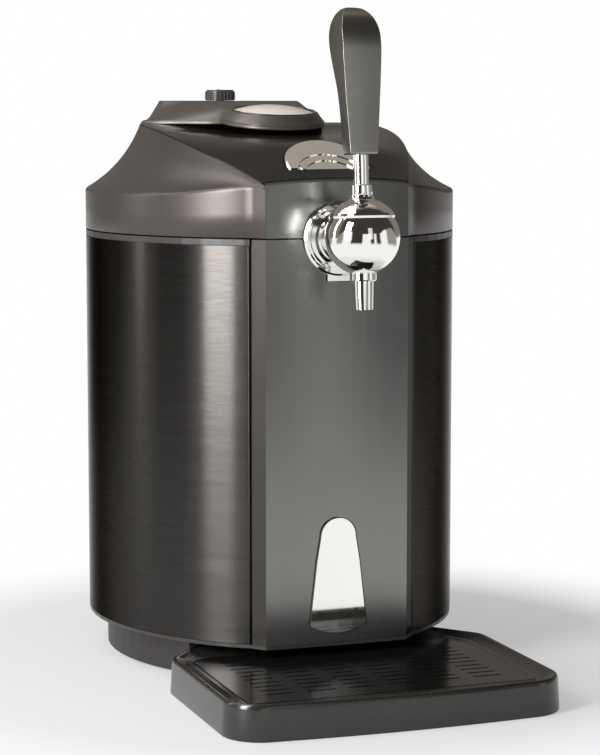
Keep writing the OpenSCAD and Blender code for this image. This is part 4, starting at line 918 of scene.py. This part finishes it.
# Height of the direction's tip, and what gloss sees from there up behind the object.
STUDIO_UP = [(0.30, STUDIO_SOFT), (0.80, STUDIO_SOFT), (0.92, STUDIO_BEIGE), (1.0, STUDIO_BEIGE)]
# Up to this height of the direction's tip gloss sees the windows. Their top is lower in front of the
# object, and lower still behind it: by how much, and between which depths of the direction's tip.
WINDOW_TOP = (0.28, 0.36)
FRONT_DROP, FRONT_DEPTHS = 0.1, (0.6, 0.8)
BACK_DROP, BACK_DEPTHS = 0.36, (-0.2, 0.3)
UP_DEPTHS = (0.0, 0.25)
# Each lamp's name, azimuth, distance, height, width and length, power, and the height that it aims at.
LAMPS = [("strip", -115.5, 2.0, 1.0, (0.62, 1.9), 80, 0.2), ("rim_strip", -67, 2.0, 1.0, (0.25, 1.6), 7, 0.2),
         ("front_fill", 176, 2.3, 0.85, (0.5, 1.3), 1.5, 0.2), ("top", -60, 1.0, 2.2, (1.2, 1.2), 16, 0.4)]


def studio_round(t, x, y):
    """The studio's colour in direction x, y."""
    turn = t.math("ARCTAN2", t.math("MULTIPLY", x, -1), t.math("MULTIPLY", y, -1))
    share = t.math("FRACT", t.math("DIVIDE", turn, 2 * math.pi))
    return t.ramp(share, [(angle / 360, color) for angle, color in STUDIO_ROUND])


def floor():
    """A table that gives white light of its own. Gloss sees the studio past its edge."""
    t = Finish("floor")
    t.set(Base_Color=FLOOR_PAINT, Roughness=0.9, Specular_IOR_Level=0.1)
    where = t.add("TexCoord").outputs["Object"]
    length = t.add("VectorMath", operation="LENGTH")
    t.feed(length.inputs[0], where)
    away = length.outputs["Value"]
    x, y, _ = t.split(where)
    beyond = t.math("MULTIPLY", t.step(away, *TABLE_EDGE), t.ray("Glossy"))
    glow = t.add("Emission", Strength=FLOOR_GLOW)
    t.feed(glow.inputs["Color"], t.mix(beyond, WHITE, studio_round(t, x, y)))
    share = t.math("MULTIPLY", t.seen(), t.math("MAXIMUM", t.step(away, *FLOOR_NEAR), FLOOR_GLOW_SHARE))
    both = t.shade(share, t.bsdf.outputs[0], glow.outputs[0])
    t.feed(t.tree.nodes["Material Output"].inputs["Surface"], both)
    mesh = bpy.data.meshes.new("floor")
    bm = bmesh.new()
    bmesh.ops.create_grid(bm, x_segments=1, y_segments=1, size=FLOOR_HALF)
    bm.to_mesh(mesh)
    obj = bpy.data.objects.new("floor", mesh)
    bpy.context.scene.collection.objects.link(obj)
    mesh.materials.append(t.mat)


def world():
    """A white background that fills shadows, and for gloss the studio in front of it."""
    studio_world = bpy.data.worlds.new("studio")
    bpy.context.scene.world = studio_world
    studio_world.use_nodes = True
    t = Tree(studio_world.node_tree)
    t.tree.nodes.clear()
    x, y, z = t.split(t.add("TexCoord").outputs["Generated"])
    back = t.math("MULTIPLY", t.step(y, *BACK_DEPTHS), BACK_DROP)
    front = t.math("MULTIPLY", t.step(t.math("MULTIPLY", y, -1), *FRONT_DEPTHS), FRONT_DROP)
    lifted = t.math("ADD", t.math("ADD", z, back), front)
    above = t.mix(t.step(y, *UP_DEPTHS), STUDIO_BROWN, t.ramp(z, STUDIO_UP))
    studio = t.mix(t.step(lifted, *WINDOW_TOP), studio_round(t, x, y), above)
    lit, seen = t.add("Background", Color=WHITE, Strength=FILL_LIGHT), t.add("Background")
    t.feed(seen.inputs["Color"], t.mix(t.ray("Glossy"), WHITE, studio))
    t.feed(t.add("OutputWorld").inputs[0], t.shade(t.seen(), lit.outputs[0], seen.outputs[0]))


def lamp(name, azimuth, distance, z, size, power, aim):
    """A lamp beside the object: azimuth 0 is straight behind it, and grows to the right."""
    data = bpy.data.lights.new(name, "AREA")
    data.shape = "RECTANGLE"
    data.size, data.size_y = size
    data.energy = power
    obj = bpy.data.objects.new(name, data)
    bpy.context.scene.collection.objects.link(obj)
    a = math.radians(azimuth)
    obj.location = (distance * math.sin(a), distance * math.cos(a), z)
    obj.rotation_euler = (Vector((0, 0, aim)) - obj.location).to_track_quat("-Z", "Y").to_euler()


floor()
world()
for row in LAMPS:
    lamp(*row)

# Camera

CAMERA_PLACE = (-0.5799, -1.64825, 0.4133)
CAMERA_TURN = math.radians(19.547)
CAMERA_DIP = math.radians(6.593)
LENS, SENSOR = 112.227, 36
CLIP_NEAR, CLIP_FAR = 0.05, 50


def camera():
    """Stands at the lid's height in front of the object, to the left, and looks a little down."""
    data = bpy.data.cameras.new("camera")
    data.lens, data.sensor_width = LENS, SENSOR
    data.clip_start, data.clip_end = CLIP_NEAR, CLIP_FAR
    obj = bpy.data.objects.new("camera", data)
    bpy.context.scene.collection.objects.link(obj)
    obj.location = CAMERA_PLACE
    ahead = Vector((math.sin(CAMERA_TURN) * math.cos(CAMERA_DIP),
                    math.cos(CAMERA_TURN) * math.cos(CAMERA_DIP), -math.sin(CAMERA_DIP)))
    obj.rotation_euler = ahead.to_track_quat("-Z", "Y").to_euler()
    bpy.context.scene.camera = obj


camera()
bpy.context.scene.view_settings.view_transform = "Standard"
